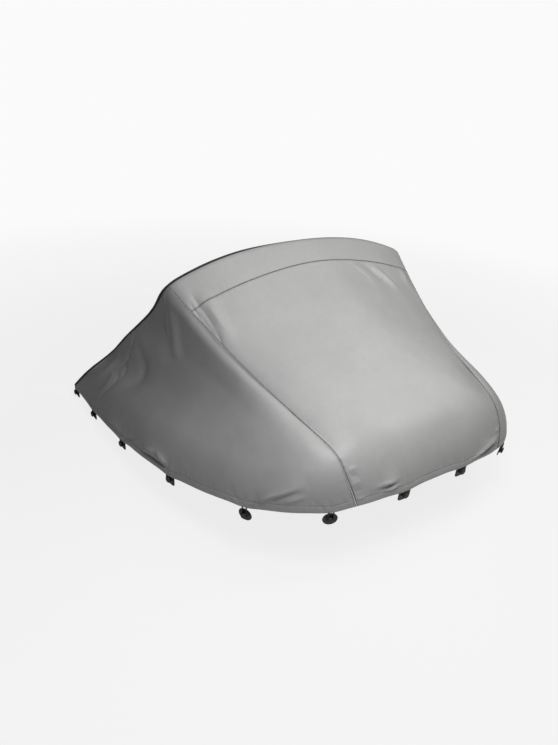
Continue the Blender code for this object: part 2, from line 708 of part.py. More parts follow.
def hem_edge(arc):
    """A point on the lower edge of the built hem, which is straight between its columns."""
    side_arc = END_ARC - SEAM_ARC
    places = half_columns() if abs(arc) < SEAM_ARC else side_columns()
    arcs = np.where(places <= 1.0, places * SEAM_ARC, SEAM_ARC + (places - 1.0) * side_arc)
    points, _ = cloth(places * np.sign(arc), np.ones_like(places))
    place = np.array([np.interp(abs(arc), arcs, points[:, axis]) for axis in range(3)])
    _, outward = tube_frame(np.array([arc]))
    return placed(place - outward[0] * HEM_CLOTH / 2)


def add_loop(name, path, parts, material):
    """One elastic cord loop, a bent round bar with closed ends."""
    curve = bpy.data.curves.new(name, "CURVE")
    curve.dimensions = "3D"
    curve.bevel_depth = CORD / 2
    curve.bevel_resolution = 1
    curve.use_fill_caps = True
    spline = curve.splines.new("POLY")
    spline.points.add(len(path) - 1)
    for point, place in zip(spline.points, path):
        point.co = (*place, 1.0)
    return new_object(name, curve, material, *parts)


def add_fastenings(parts, rubber, cord):
    """All studs and cord loops, both sides."""
    studs = {"round": round_stud_mesh(), "square": square_stud_mesh()}
    for mesh in studs.values():
        mesh.materials.clear()
        mesh.materials.append(rubber)
        mesh.shade_smooth()
        mesh.set_sharp_from_angle(angle=math.radians(SHARP_ANGLE))
    for side in SIDES:
        for name, arc, angle, pad in FASTENINGS:
            frame = fastening_frame(side, arc, angle)
            stud = new_object(f"lashing_stud_{side}_{name}", studs[pad], rubber, *parts)
            stud.matrix_world = frame
            path = [frame @ point for point in loop_path(frame, side, arc)]
            add_loop(f"cord_loop_{side}_{name}", path, parts, cord)


# ---------------------------------------------------------------- build


def build():
    """Model the whole cover."""
    clear_scene()
    collection = bpy.data.collections.new("boat_bow_cover")
    bpy.context.scene.collection.children.link(collection)
    anchor = bpy.data.objects.new("cover_origin", None)
    collection.objects.link(anchor)
    parts = (collection, anchor)
    grey = principled("grey_coated_cloth", GREY_CLOTH, 0.45)
    add_front(parts, grey)
    rimmed = [add_side("starboard", parts, grey), add_band(parts, grey), add_side("port", parts, grey)]
    add_binding(rimmed, parts, principled("black_binding_tape", BLACK_TAPE, 0.7))
    rubber = principled("black_rubber", BLACK_RUBBER, 0.5)
    cord = principled("black_elastic_cord", BLACK_CORD, 0.65)
    add_fastenings(parts, rubber, cord)


build()
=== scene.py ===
"""Bow cover of an inflatable boat, dressed for the camera.

It is of coated cloth with a bound rear edge, and has its studs and cord loops.

Axes: the bow points to -Y, +X is port, +Z is up. The origin is under the crown of the hoop band.
Places on the cover are given as "around" (0 at the centre line, 1 at a long seam, 2 at an aft corner,
negative to starboard) and "down" (0 at the rear edge, 1 at the hem).
"""
import math

import bpy
import numpy as np
from mathutils import Matrix, Vector


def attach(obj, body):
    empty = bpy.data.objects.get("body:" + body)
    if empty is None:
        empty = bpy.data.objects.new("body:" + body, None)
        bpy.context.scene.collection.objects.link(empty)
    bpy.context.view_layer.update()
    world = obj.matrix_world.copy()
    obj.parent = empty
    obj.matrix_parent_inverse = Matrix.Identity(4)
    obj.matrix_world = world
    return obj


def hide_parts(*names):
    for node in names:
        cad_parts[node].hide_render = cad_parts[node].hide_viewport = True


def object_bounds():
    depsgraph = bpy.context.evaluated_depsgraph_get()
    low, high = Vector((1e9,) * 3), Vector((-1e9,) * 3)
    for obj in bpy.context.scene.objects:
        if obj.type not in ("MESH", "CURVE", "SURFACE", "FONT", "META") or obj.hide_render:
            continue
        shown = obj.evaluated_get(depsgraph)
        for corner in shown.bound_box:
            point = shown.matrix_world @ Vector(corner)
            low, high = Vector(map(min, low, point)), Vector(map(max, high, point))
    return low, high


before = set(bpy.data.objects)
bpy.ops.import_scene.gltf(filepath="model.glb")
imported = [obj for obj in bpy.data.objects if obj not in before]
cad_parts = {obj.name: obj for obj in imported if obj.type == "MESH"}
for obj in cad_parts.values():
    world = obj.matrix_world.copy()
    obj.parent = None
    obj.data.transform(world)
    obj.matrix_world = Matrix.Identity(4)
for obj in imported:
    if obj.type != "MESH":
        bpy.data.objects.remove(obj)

CAD_BOX = [list(corner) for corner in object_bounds()]

# ---------------------------------------------------------------- the cover's dimensions (metres, degrees)

HALF_BEAM = 0.850
TUBE_RADIUS = 0.260
BOW_START_Y = 0.606
BOW_LENGTH = 1.617
BOW_SIDE_POWER = 4.20
BOW_FRONT_POWER = 2.52
BOW_RISE = 0.245
BOW_RISE_POWER = 1.81

CLOTH = 0.0012
HEM_CLOTH = 0.0024
HEM_BAND = 0.035
HEM_Z = 0.013
HEM_PULL = 0.008
HEM_PULL_REACH = 0.055
HEM_END_Y = 0.660
CORNER_WIDTH = 0.022
CORNER_SHARE = 0.35

HOOP_CROWN_Z = 0.902
HOOP_CORNER_X = 0.648
HOOP_CORNER_Z = 0.772
HOOP_CROWN_POWER = 2.32
HOOP_BEND_TOP = 0.09
HOOP_BEND_SIDE = 0.06
BAND_WIDTH = 0.151
SEAM_FOOT_X = 0.372

TAPE = 0.0010
TAPE_LEG = 0.0125
TAPE_CLEAR = 0.0005
GAP = 0.0003

CORD = 0.005
CORD_RISE = 0.25
NECK_RADIUS = 0.008
NECK_HEIGHT = 0.0065
BUTTON_RADIUS = 0.0135
BUTTON_HEIGHT = 0.006
PAD_HEIGHT = 0.004
PAD_CLEAR = 0.0024
STUD_BASE = -(HEM_CLOTH + PAD_CLEAR + PAD_HEIGHT)
ROUND_PAD_RADIUS = 0.028
SQUARE_PAD_WIDTH = 0.058
SQUARE_PAD_HEIGHT = 0.052

REAR_EDGE = [
    # around, x out, y aft, z above the tube's axis
    (1.25, 0.627, 0.194, 0.573),
    (1.50, 0.668, 0.351, 0.413),
    (1.75, 0.720, 0.510, 0.237),
    (1.84, 0.778, 0.534, 0.184),
    (1.92, 0.823, 0.578, 0.119),
]
STRETCH = [
    # around, leave, slant, sag, first handle, last handle
    (0.0, 65.5, 0.000, 0.013, 0.333, 0.333),
    (0.5, 61.5, 0.015, 0.068, 0.467, 0.227),
    (1.0, 40.0, 0.043, 0.110, 0.600, 0.120),
    (1.5, 47.5, 0.012, -0.026, 0.333, 0.333),
    (1.75, 42.5, 0.000, -0.014, 0.333, 0.333),
    (1.9, 26.0, 0.000, -0.006, 0.333, 0.333),
    (2.0, 4.0, 0.000, 0.000, 0.333, 0.333),
]
SEAM_STATION = 2
RUN_STEPS = 6
SEAM_SWING = [
    # down, swing
    (0.00, 0.000),
    (0.25, -0.022),
    (0.50, -0.009),
    (0.75, 0.010),
    (1.00, 0.000),
]
FASTENINGS = [
    # name, arc along the hem, angle on the tube, pad
    ("bow_inner", 0.152, -2.5, "square"),
    ("bow_corner", 0.466, -6.4, "round"),
    ("shoulder", 0.786, -7.4, "round"),
    ("forward", 1.195, -2.5, "square"),
    ("middle", 1.600, -2.5, "square"),
    ("aft", 1.940, -2.8, "square"),
    ("corner", 2.190, -3.0, "square"),
]
SIDES = {"port": 1, "starboard": -1}

# ---------------------------------------------------------------- relief of the cloth

FOLDS = [
    # soft folds: around, down, to_around, to_down, width, height
    (-0.84, 0.06, -0.93, 0.30, 0.030, 0.008),
    (-0.92, 0.07, -1.00, 0.28, 0.028, -0.006),
    (0.34, 0.13, 0.49, 0.25, 0.030, 0.006),
    (0.45, 0.13, 0.66, 0.26, 0.028, -0.005),
    (0.53, 0.13, 0.74, 0.26, 0.030, 0.006),
    (0.87, 0.11, 0.89, 0.24, 0.030, 0.006),
    (-1.03, 0.02, -1.38, 0.31, 0.038, 0.011),
    (1.03, 0.02, 1.34, 0.28, 0.038, 0.009),
    (-1.93, 0.34, -1.64, 0.06, 0.032, 0.008),
    (-1.82, 0.72, -1.49, 0.08, 0.036, -0.008),
    (1.92, 0.36, 1.62, 0.08, 0.032, 0.007),
    (1.80, 0.66, 1.52, 0.14, 0.036, -0.007),
    (-1.57, 0.93, -1.45, 0.93, 0.034, 0.011),
    (-1.76, 0.88, -1.67, 0.92, 0.032, 0.007),
    (-1.20, 0.96, -1.08, 0.90, 0.032, 0.008),
    (-0.72, 0.96, -0.48, 0.94, 0.032, 0.007),
    (0.62, 0.96, 0.96, 0.97, 0.032, 0.007),
    (1.50, 0.94, 1.40, 0.92, 0.034, 0.009),
    (1.74, 0.90, 1.64, 0.93, 0.032, 0.006),
]
CREASES = [
    # crisp creases: around, down, to_around, to_down, width, height
    (-0.915, 0.074, -0.956, 0.226, 0.008, -0.0075),   # under the starboard end of the cross seam
    (-0.956, 0.226, -1.008, 0.295, 0.008, -0.0035),
    (-0.961, 0.095, -0.984, 0.165, 0.008, -0.0045),
    (-0.925, 0.115, -0.968, 0.215, 0.007, 0.0052),
    (-0.885, 0.120, -0.915, 0.240, 0.011, 0.0035),
    (0.304, 0.132, 0.436, 0.226, 0.011, -0.0035),     # fan under the port half of the cross seam
    (0.375, 0.132, 0.550, 0.242, 0.011, 0.0035),
    (0.450, 0.128, 0.663, 0.236, 0.011, -0.0035),
    (0.515, 0.126, 0.705, 0.240, 0.010, 0.0030),
    (0.583, 0.122, 0.753, 0.248, 0.012, -0.0040),
    (0.861, 0.114, 0.871, 0.204, 0.012, 0.0050),
    (-1.970, 0.110, -1.711, 0.024, 0.012, -0.0050),   # from the aft corners
    (-1.834, 0.792, -1.763, 0.277, 0.015, -0.0048),
    (-1.800, 0.520, -1.680, 0.190, 0.016, -0.0036),
    (-1.763, 0.277, -1.574, 0.116, 0.015, -0.0040),
    (-1.590, 0.130, -1.447, 0.027, 0.010, -0.0035),
    (-1.850, 0.700, -1.790, 0.260, 0.013, 0.0036),
    (1.970, 0.220, 1.710, 0.040, 0.014, -0.0045),
    (1.835, 0.760, 1.690, 0.230, 0.015, -0.0036),
    (1.860, 0.560, 1.760, 0.240, 0.014, 0.0030),
    (-1.558, 0.942, -1.499, 0.914, 0.010, 0.0120),    # slack cloth between two studs
    (-1.499, 0.914, -1.452, 0.944, 0.010, 0.0120),
    (-1.562, 0.960, -1.455, 0.962, 0.010, -0.0095),
    (-1.662, 0.988, -1.568, 0.883, 0.009, -0.0060),
    (-1.750, 0.898, -1.674, 0.924, 0.011, 0.0070),
    (1.540, 0.950, 1.430, 0.930, 0.009, 0.0045),
    (1.640, 0.980, 1.560, 0.890, 0.009, -0.0035),
    (-1.209, 0.993, -1.153, 0.932, 0.009, 0.0085),    # fan above the starboard shoulder stud
    (-1.195, 0.968, -1.104, 0.913, 0.009, 0.0090),
    (-1.176, 0.967, -1.096, 0.925, 0.008, -0.0080),
    (-1.142, 0.967, -1.089, 0.940, 0.008, 0.0075),
    (1.205, 0.990, 1.140, 0.925, 0.008, 0.0040),
    (1.170, 0.968, 1.098, 0.918, 0.008, -0.0035),
    (-0.994, 0.879, -0.895, 0.878, 0.007, 0.0042),    # short puckers at the feet of the long seams
    (-0.990, 0.902, -0.915, 0.899, 0.006, -0.0038),
    (-0.997, 0.924, -0.900, 0.920, 0.007, 0.0044),
    (-0.996, 0.948, -0.910, 0.944, 0.006, -0.0038),
    (-0.999, 0.974, -0.893, 0.973, 0.007, 0.0042),
    (0.990, 0.890, 0.905, 0.886, 0.008, 0.0026),
    (0.996, 0.930, 0.910, 0.925, 0.008, 0.0028),
    (0.998, 0.968, 0.890, 0.964, 0.008, 0.0028),
    (-0.800, 0.956, -0.500, 0.948, 0.008, 0.0100),    # folds along the bow hem
    (-0.760, 0.966, -0.500, 0.959, 0.007, -0.0070),
    (-0.720, 0.976, -0.490, 0.969, 0.007, 0.0075),
    (0.520, 0.985, 0.800, 0.958, 0.008, 0.0100),
    (0.700, 0.964, 1.000, 0.944, 0.009, 0.0110),
    (0.900, 0.930, 0.990, 0.918, 0.008, 0.0050),
    (0.620, 0.990, 1.000, 0.962, 0.008, -0.0080),
    (-1.031, 0.012, -1.111, 0.040, 0.010, 0.0050),    # ridge over the legs of the hoop
    (-1.095, 0.034, -1.290, 0.180, 0.013, 0.0060),
    (1.031, 0.012, 1.120, 0.050, 0.012, 0.0045),
]
FAN_CREASES = 5              # fine creases drawn from each fastening
FRONT_FAN = 0.35             # how far they stand out along the bow, as a share of those along the sides
SEAM_STRIP = 0.0115          # width of the felled strip beside a seam
SEAM_RAISE = 0.0002
SEAM_DIP = 0.0006            # the two edges turn down where they meet ...
SEAM_DIP_REACH = 0.0020      # ... over this width, which lies in shade
# width of the painted shade that darkens each seam's groove
SEAM_SHADE_REACH = 0.0031
HOOP_ROLL = 0.012            # the rear edge rolls down behind the hoop by this much ...
HOOP_ROLL_MORE = 0.010       # ... and this much more on the port side ...
HOOP_ROLL_REACH = 0.030      # ... over this width
HEM_STITCH = 0.030           # stitch line of the hem, from its edge
STITCH_PITCH = 0.0045
THREAD = 0.00075
SEAM_STITCHES = (0.0030, 0.0090)     # rows of stitches on a felled strip, from the seam
STITCH_DIP = 0.00045         # the thread draws the cloth down by this much ...
STITCH_DIP_REACH = 0.0011    # ... over this width

TAUT_FRONT = 0.55            # unevenness of the taut front panel, as a share of the sides'
SLOW_WAVES = (0.0011, 0.40, 0.14, 3)     # height, longest and shortest wave, seed
QUICK_WAVES = (0.00025, 0.10, 0.05, 4)
DRIFT_WAVES = (0.30, 0.12)
PUCKER_DRIFT = 0.012
PUCKER_REACH = 0.020
LONG_PUCKERS = (0.00055, 0.027)      # height and pitch, along a long seam
CROSS_PUCKERS = (0.00050, 0.029)
HEM_WAVES = (0.0007, 0.031)
HEM_WAVE_PLACE, HEM_WAVE_REACH = 0.033, 0.022
HEM_BULGE = 0.0011           # the hem is thick between its edge and its stitch line
HEM_STITCH_DIP, HEM_STITCH_REACH = 0.0009, 0.0016
HEM_EDGE_DIP, HEM_EDGE_REACH = 0.0008, 0.0012

# distances of the close rows and columns beside a seam, the rear edge and the hem
NEAR_SEAM = (
    0.0, 0.0008, 0.0016, 0.0026, 0.0038, 0.0055, 0.0075, 0.0095, 0.0108, 0.0122, 0.0140, 0.0170, 0.0215,
)
NEAR_EDGE = (0.0, 0.0015, 0.0035, 0.0060, 0.0085, 0.0110, 0.0140, 0.0175, 0.0215, 0.0260, 0.0310)
NEAR_HEM = (
    0.0, 0.0008, 0.0018, 0.0035, 0.0060, 0.0095, 0.0135, 0.0180, 0.0225, 0.0265,
    0.0285, 0.0295, 0.0305, 0.0317, 0.0335, 0.0352, 0.0375, 0.0410, 0.0460,
)
ABOVE_HEM = tuple(0.051 + 0.005 * row for row in range(15))
ROW_STEP = 0.0066            # between the even rows of the front panel and the band
SIDE_ROW_STEP = 0.0105
FRONT_COLUMNS = 200
SIDE_COLUMNS = 250

UP = np.array([0.0, 0.0, 1.0])


def column(table, index):
    """One column of a table, as an array."""
    return np.array([row[index] for row in table], dtype=float)


def smooth_through(knots, values, at, level_start=False):
    """Natural cubic spline through (knots, values), read at the places 'at'."""
    count, step = len(knots), np.diff(knots)
    matrix, right = np.zeros((count, count)), np.zeros(count)
    matrix[0, 0] = matrix[-1, -1] = 1.0
    if level_start:
        matrix[0, :2] = 2.0 * step[0], step[0]
        right[0] = 6.0 * (values[1] - values[0]) / step[0]
    for i in range(1, count - 1):
        matrix[i, i - 1:i + 2] = step[i - 1], 2.0 * (step[i - 1] + step[i]), step[i]
        right[i] = 6.0 * ((values[i + 1] - values[i]) / step[i] - (values[i] - values[i - 1]) / step[i - 1])
    bend = np.linalg.solve(matrix, right)
    at = np.clip(at, knots[0], knots[-1])
    i = np.clip(np.searchsorted(knots, at) - 1, 0, count - 2)
    before, after, span = at - knots[i], knots[i + 1] - at, step[i]
    curved = (bend[i] * after ** 3 + bend[i + 1] * before ** 3) / (6.0 * span)
    first = (values[i] / span - bend[i] * span / 6.0) * after
    second = (values[i + 1] / span - bend[i + 1] * span / 6.0) * before
    return curved + first + second


def travelled(line):
    """Distance come along a line of points, from 0 at the first."""
    return np.concatenate([[0.0], np.cumsum(np.linalg.norm(np.diff(line, axis=0), axis=1))])


def full_turn(count):
    """Even angles round a circle."""
    return np.linspace(0.0, 2 * math.pi, count + 1)[:-1]


def smooth_step(value, low, high):
    """0 below low, 1 above high, smooth between."""
    t = np.clip((value - low) / (high - low), 0.0, 1.0)
    return t * t * (3.0 - 2.0 * t)


# ---------------------------------------------------------------- plain surface of the stretched cloth


def bow_plan():
    """The hem's plan on the port side, as arc length, x and y."""
    turn = np.linspace(math.pi / 2, 0.0, 1201)
    x = HALF_BEAM * np.abs(np.cos(turn)) ** (2.0 / BOW_SIDE_POWER)
    y = BOW_START_Y - BOW_LENGTH * np.sin(turn) ** (2.0 / BOW_FRONT_POWER)
    x[0] = 0.0
    x, y = np.append(x, HALF_BEAM), np.append(y, BOW_START_Y + HALF_BEAM)
    arc = np.concatenate([[0.0], np.cumsum(np.hypot(np.diff(x), np.diff(y)))])
    return arc, x, y


PLAN_ARC, PLAN_X, PLAN_Y = bow_plan()
SEAM_ARC = float(np.interp(SEAM_FOOT_X, PLAN_X[:1100], PLAN_ARC[:1100]))
END_ARC = float(np.interp(HEM_END_Y, PLAN_Y, PLAN_ARC))
SIDE_ARC = END_ARC - SEAM_ARC


def plan_at(arc):
    """Plan position at an arc length along the hem; it mirrors itself across the centre line."""
    return np.interp(np.abs(arc), PLAN_ARC, PLAN_X) * np.sign(arc), np.interp(np.abs(arc), PLAN_ARC, PLAN_Y)


def tube_frame(arc):
    """Centre of the tube's section at an arc length along the hem, and the way out of the boat."""
    reach = 0.03
    x, y = plan_at(arc)
    ahead, behind = plan_at(arc + reach), plan_at(arc - reach)
    along_x, along_y = ahead[0] - behind[0], ahead[1] - behind[1]
    length = np.hypot(along_x, along_y)
    outward = np.stack([along_y / length, -along_x / length, 0.0 * x], axis=-1)
    rise = BOW_RISE * np.clip((BOW_START_Y - y) / BOW_LENGTH, 0.0, 1.0) ** BOW_RISE_POWER
    return np.stack([x, y, rise], axis=-1) - TUBE_RADIUS * outward, outward


def hem_angle(arc):
    """Angle on the tube of the hem's edge, drawn down at each fastening."""
    pull = sum(np.exp(-((np.abs(arc) - row[1]) / HEM_PULL_REACH) ** 2) for row in FASTENINGS)
    return math.asin(HEM_Z / TUBE_RADIUS) - HEM_PULL * pull / TUBE_RADIUS


def on_tube(arc, angle, lift=0.0):
    """A point on the tube, at an angle above its axis and a height above its surface."""
    centre, outward = tube_frame(arc)
    cosine, sine = np.cos(angle)[..., None], np.sin(angle)[..., None]
    return centre + (TUBE_RADIUS + lift) * (cosine * outward + sine * UP)


def sharp_rear_edge(around):
    """Rear edge before its shoulder is rounded: over the hoop, then slanting down to the aft corner."""
    top = np.clip(around, 0.0, 1.0)
    height = HOOP_CROWN_Z - (HOOP_CROWN_Z - HOOP_CORNER_Z) * top ** HOOP_CROWN_POWER
    over_hoop = np.stack([HOOP_CORNER_X * top, 0.0 * top, height], axis=-1)
    end = np.array([END_ARC])
    corner = on_tube(end, hem_angle(end) + CORNER_WIDTH / TUBE_RADIUS)
    knots = np.vstack([[1.0, HOOP_CORNER_X, 0.0, HOOP_CORNER_Z], REAR_EDGE, [2.0, *corner[0]]])
    slanting = np.stack([smooth_through(knots[:, 0], knots[:, axis], around) for axis in (1, 2, 3)], axis=-1)
    return np.where((around > 1.0)[..., None], slanting, over_hoop)


def rear_edge(around):
    """Rear edge of the port half, with the hoop's shoulder rounded."""
    start, end = 1.0 - HOOP_BEND_TOP, 1.0 + HOOP_BEND_SIDE
    on_band = (around - start) / HOOP_BEND_TOP * 0.5
    on_side = 0.5 + (around - 1.0) / HOOP_BEND_SIDE * 0.5
    t = np.clip(np.where(around < 1.0, on_band, on_side), 0.0, 1.0)[..., None]
    first, middle, last = sharp_rear_edge(np.array([start, 1.0, end]))
    bend = (1 - t) ** 2 * first + 2 * t * (1 - t) * middle + t ** 2 * last
    in_bend = (around > start) & (around < end)
    return np.where(in_bend[..., None], bend, sharp_rear_edge(around))


def stretch_at(around, index):
    """One column of the stretch table, smooth over the front and over each side."""
    stations, values = column(STRETCH, 0), column(STRETCH, index)
    ahead, beside = slice(0, SEAM_STATION + 1), slice(SEAM_STATION, None)
    over_front = smooth_through(stations[ahead], values[ahead], np.minimum(around, 1.0), level_start=True)
    over_side = smooth_through(stations[beside], values[beside], np.maximum(around, 1.0))
    return np.where(around < 1.0, over_front, over_side)


def along_run(progress, first_handle, last_handle):
    """The curve's own parameter at which a run has come this share of its way."""
    t = progress.copy()
    for _ in range(RUN_STEPS):
        rest = 1.0 - t
        come = 3.0 * rest ** 2 * t * first_handle + 3.0 * rest * t ** 2 * (1.0 - last_handle) + t ** 3
        speed = 3.0 * first_handle * rest ** 2 + 3.0 * last_handle * t ** 2
        speed = speed + 6.0 * (1.0 - first_handle - last_handle) * rest * t
        t = np.clip(t - (come - progress) / speed, 0.0, 1.0)
    return t


def around_at(arc):
    """The run whose foot is at an arc length along the hem, on the port side."""
    return arc / SEAM_ARC if arc < SEAM_ARC else 1.0 + (arc - SEAM_ARC) / SIDE_ARC


def hem_arc(around):
    """Arc length along the hem of a run's foot, on the port side."""
    return np.where(around < 1.0, SEAM_ARC * around, SEAM_ARC + SIDE_ARC * (around - 1.0))


def cloth_half(around, down):
    """Points of the cover's outer face on the port side, before folds."""
    swing = smooth_through(column(SEAM_SWING, 0), column(SEAM_SWING, 1), down)
    around = around + swing * np.where(around < 1.0, around, 2.0 - around)
    leave, slant, sag, first_handle, last_handle = (stretch_at(around, index) for index in range(1, 6))
    arc, leave = hem_arc(around), np.radians(leave)
    start = rear_edge(around)
    touch = on_tube(arc + slant, leave)
    _, outward = tube_frame(arc + slant)
    hem = hem_angle(arc)
    wrap = TUBE_RADIUS * (leave - hem)
    travel = np.hypot(wrap, slant)
    ahead = np.stack([-outward[..., 1], outward[..., 0], 0.0 * slant], axis=-1)
    around_tube = np.sin(leave)[..., None] * outward - np.cos(leave)[..., None] * UP
    tangent = ((wrap / travel)[..., None] * around_tube) - (slant / travel)[..., None] * ahead
    length = np.linalg.norm(touch - start, axis=-1)
    share = length / (length + travel)
    first = start + first_handle[..., None] * (touch - start) - UP * (sag * length)[..., None]
    second = touch - tangent * (last_handle * length)[..., None]
    t = along_run(np.clip(down / share, 0.0, 1.0), first_handle, last_handle)[..., None]
    rest = 1 - t
    free = rest ** 3 * start + 3 * t * rest ** 2 * first + 3 * t ** 2 * rest * second + t ** 3 * touch
    wrapped = np.clip((down - share) / (1.0 - share), 0.0, 1.0)
    on_the_tube = on_tube(arc + slant * (1.0 - wrapped), leave - (leave - hem) * wrapped)
    return np.where((down <= share)[..., None], free, on_the_tube)


def plain_cloth(around, down):
    """Points of the outer face on either side, in the part's own frame."""
    around, down = np.broadcast_arrays(np.asarray(around, float), np.asarray(down, float))
    points = cloth_half(np.abs(around), down)
    points[..., 0] *= np.where(around < 0.0, -1.0, 1.0)
    return points - UP * (HOOP_CROWN_Z - CLOTH)


def cloth_normal(around, down):
    """Outward normal of the plain cloth."""
    reach = 0.004
    low, high = np.clip(down - reach, 0.0, 1.0), np.clip(down + reach, 0.0, 1.0)
    across = plain_cloth(around + reach, down) - plain_cloth(around - reach, down)
    downward = plain_cloth(around, high) - plain_cloth(around, low)
    normal = np.cross(downward, across)
    return normal / np.linalg.norm(normal, axis=-1, keepdims=True)


def run_table():
    """Length of the runs of cloth from rear edge to hem, against around."""
    stations = np.linspace(0.0, 2.0, 401)
    points = plain_cloth(stations[:, None], np.linspace(0.0, 1.0, 41)[None, :])
    return stations, np.linalg.norm(np.diff(points, axis=1), axis=-1).sum(axis=1)


def seam_width_table(step):
    """Metres per unit of around beside the long seam, against down."""
    rows = np.linspace(0.0, 1.0, 101)
    beside = plain_cloth(1.0 + step, rows) - plain_cloth(1.0, rows)
    return rows, np.linalg.norm(beside, axis=-1) / abs(step)


RUN_TABLE = run_table()
FRONT_WIDTH, SIDE_WIDTH = seam_width_table(-0.02), seam_width_table(0.02)


def run_length(around):
    """Length of a run of cloth."""
    return np.interp(np.abs(around), *RUN_TABLE)


def from_long_seam(around, down):
    """Distance from the nearer long seam, in metres; negative on the front panel and the band."""
    beyond = np.abs(around) - 1.0
    width = np.where(beyond < 0.0, np.interp(down, *FRONT_WIDTH), np.interp(down, *SIDE_WIDTH))
    return beyond * width


# ---------------------------------------------------------------- relief


def fan_creases():
    """Fine creases that spread from each fastening into the cloth above it."""
    chance = np.random.default_rng(11)
    made = []
    for side in (1.0, -1.0):
        for _, arc, _, _ in FASTENINGS[:-1]:
            foot = around_at(arc)
            metres = SEAM_ARC if foot < 1.0 else SIDE_ARC
            length = float(run_length(foot))
            for k in range(FAN_CREASES):
                lean = -0.9 + 1.8 * (k + chance.uniform(0.2, 0.8)) / FAN_CREASES
                reach = chance.uniform(0.05, 0.11)
                height = chance.uniform(0.0012, 0.0026) * (1.0 if k % 2 else -1.0)
                height *= FRONT_FAN if foot < 1.0 else 1.0
                start = foot + lean * 0.012 / metres
                stop = foot + lean * reach * 1.3 / metres
                rise = reach * (1.2 - abs(lean) * 0.6) / length
                made.append((side * start, 1.0 - 0.004 / length, side * stop, 1.0 - rise, 0.006, height))
    return made


def ridge_lines(table, samples):
    """Each row's centre line on the plain cloth, with its width and height."""
    steps = np.linspace(0.0, 1.0, samples)
    for around, down, to_around, to_down, width, height in table:
        line = plain_cloth(around + (to_around - around) * steps, down + (to_down - down) * steps)
        yield line, width, height


FOLD_LINES = list(ridge_lines(FOLDS, 25))
CREASE_LINES = list(ridge_lines(CREASES + fan_creases(), 13))


def beside_line(points, line):
    """Distance of each point from a line, and how far along the line that is, from 0 to 1."""
    best, along = np.full(len(points), np.inf), np.zeros(len(points))
    pieces = len(line) - 1
    for i in range(pieces):
        step = line[i + 1] - line[i]
        t = np.clip((points - line[i]) @ step / max(step @ step, 1e-12), 0.0, 1.0)
        distance = np.linalg.norm(points - line[i] - t[:, None] * step, axis=1)
        closer = distance < best
        best[closer], along[closer] = distance[closer], (i + t[closer]) / pieces
    return best, along


def crisp_profile(share):
    """Height of a crease across it, 1 in the middle, with a narrow round top."""
    return np.exp(-1.7 * (np.sqrt(share ** 2 + 0.05) - math.sqrt(0.05)))


def ridges(points, lines, crisp):
    """Height of all the folds or creases at each point: fading to nothing at both ends."""
    flat, lift = points.reshape(-1, 3), np.zeros(points.size // 3)
    for line, width, height in lines:
        reach = 3.5 * width
        near = ((flat > line.min(axis=0) - reach) & (flat < line.max(axis=0) + reach)).all(axis=1)
        if not near.any():
            continue
        distance, along = beside_line(flat[near], line)
        fade = np.sin(math.pi * np.clip(along, 0.03, 0.97))
        share = distance / width
        shape = crisp_profile(share) if crisp else np.exp(-share ** 2)
        lift[near] += height * fade * shape
    return lift.reshape(points.shape[:-1])


def unevenness(points, longest, shortest, seed, waves=22):
    """Slow random waves over the cloth, about from -1 to 1."""
    chance = np.random.default_rng(seed)
    total = np.zeros(points.shape[:-1])
    for _ in range(waves):
        way = chance.normal(size=3)
        way *= 2.0 * math.pi / chance.uniform(shortest, longest) / np.linalg.norm(way)
        total += np.sin(points @ way + chance.uniform(0.0, 2.0 * math.pi))
    return total / math.sqrt(waves)


def waves_of(points, height, longest, shortest, seed):
    """Slow random waves of a height."""
    return height * unevenness(points, longest, shortest, seed)


def ripples(place, height, pitch):
    """Even ripples of a height and pitch."""
    return height * np.sin(2 * math.pi * place / pitch)


def seam_relief(distance):
    """Profile across a seam: both edges turn down, and the felled strip stands up on the positive side."""
    dip = -SEAM_DIP * np.exp(-(distance / SEAM_DIP_REACH) ** 2)
    strip = SEAM_RAISE * (1.0 - smooth_step(distance, SEAM_STRIP - 0.0012, SEAM_STRIP + 0.0008))
    rows = sum(-STITCH_DIP * np.exp(-((distance - row) / STITCH_DIP_REACH) ** 2) for row in SEAM_STITCHES)
    return dip + np.where(distance > 0.0, strip * smooth_step(distance, 0.0, 0.002) + rows, 0.0)


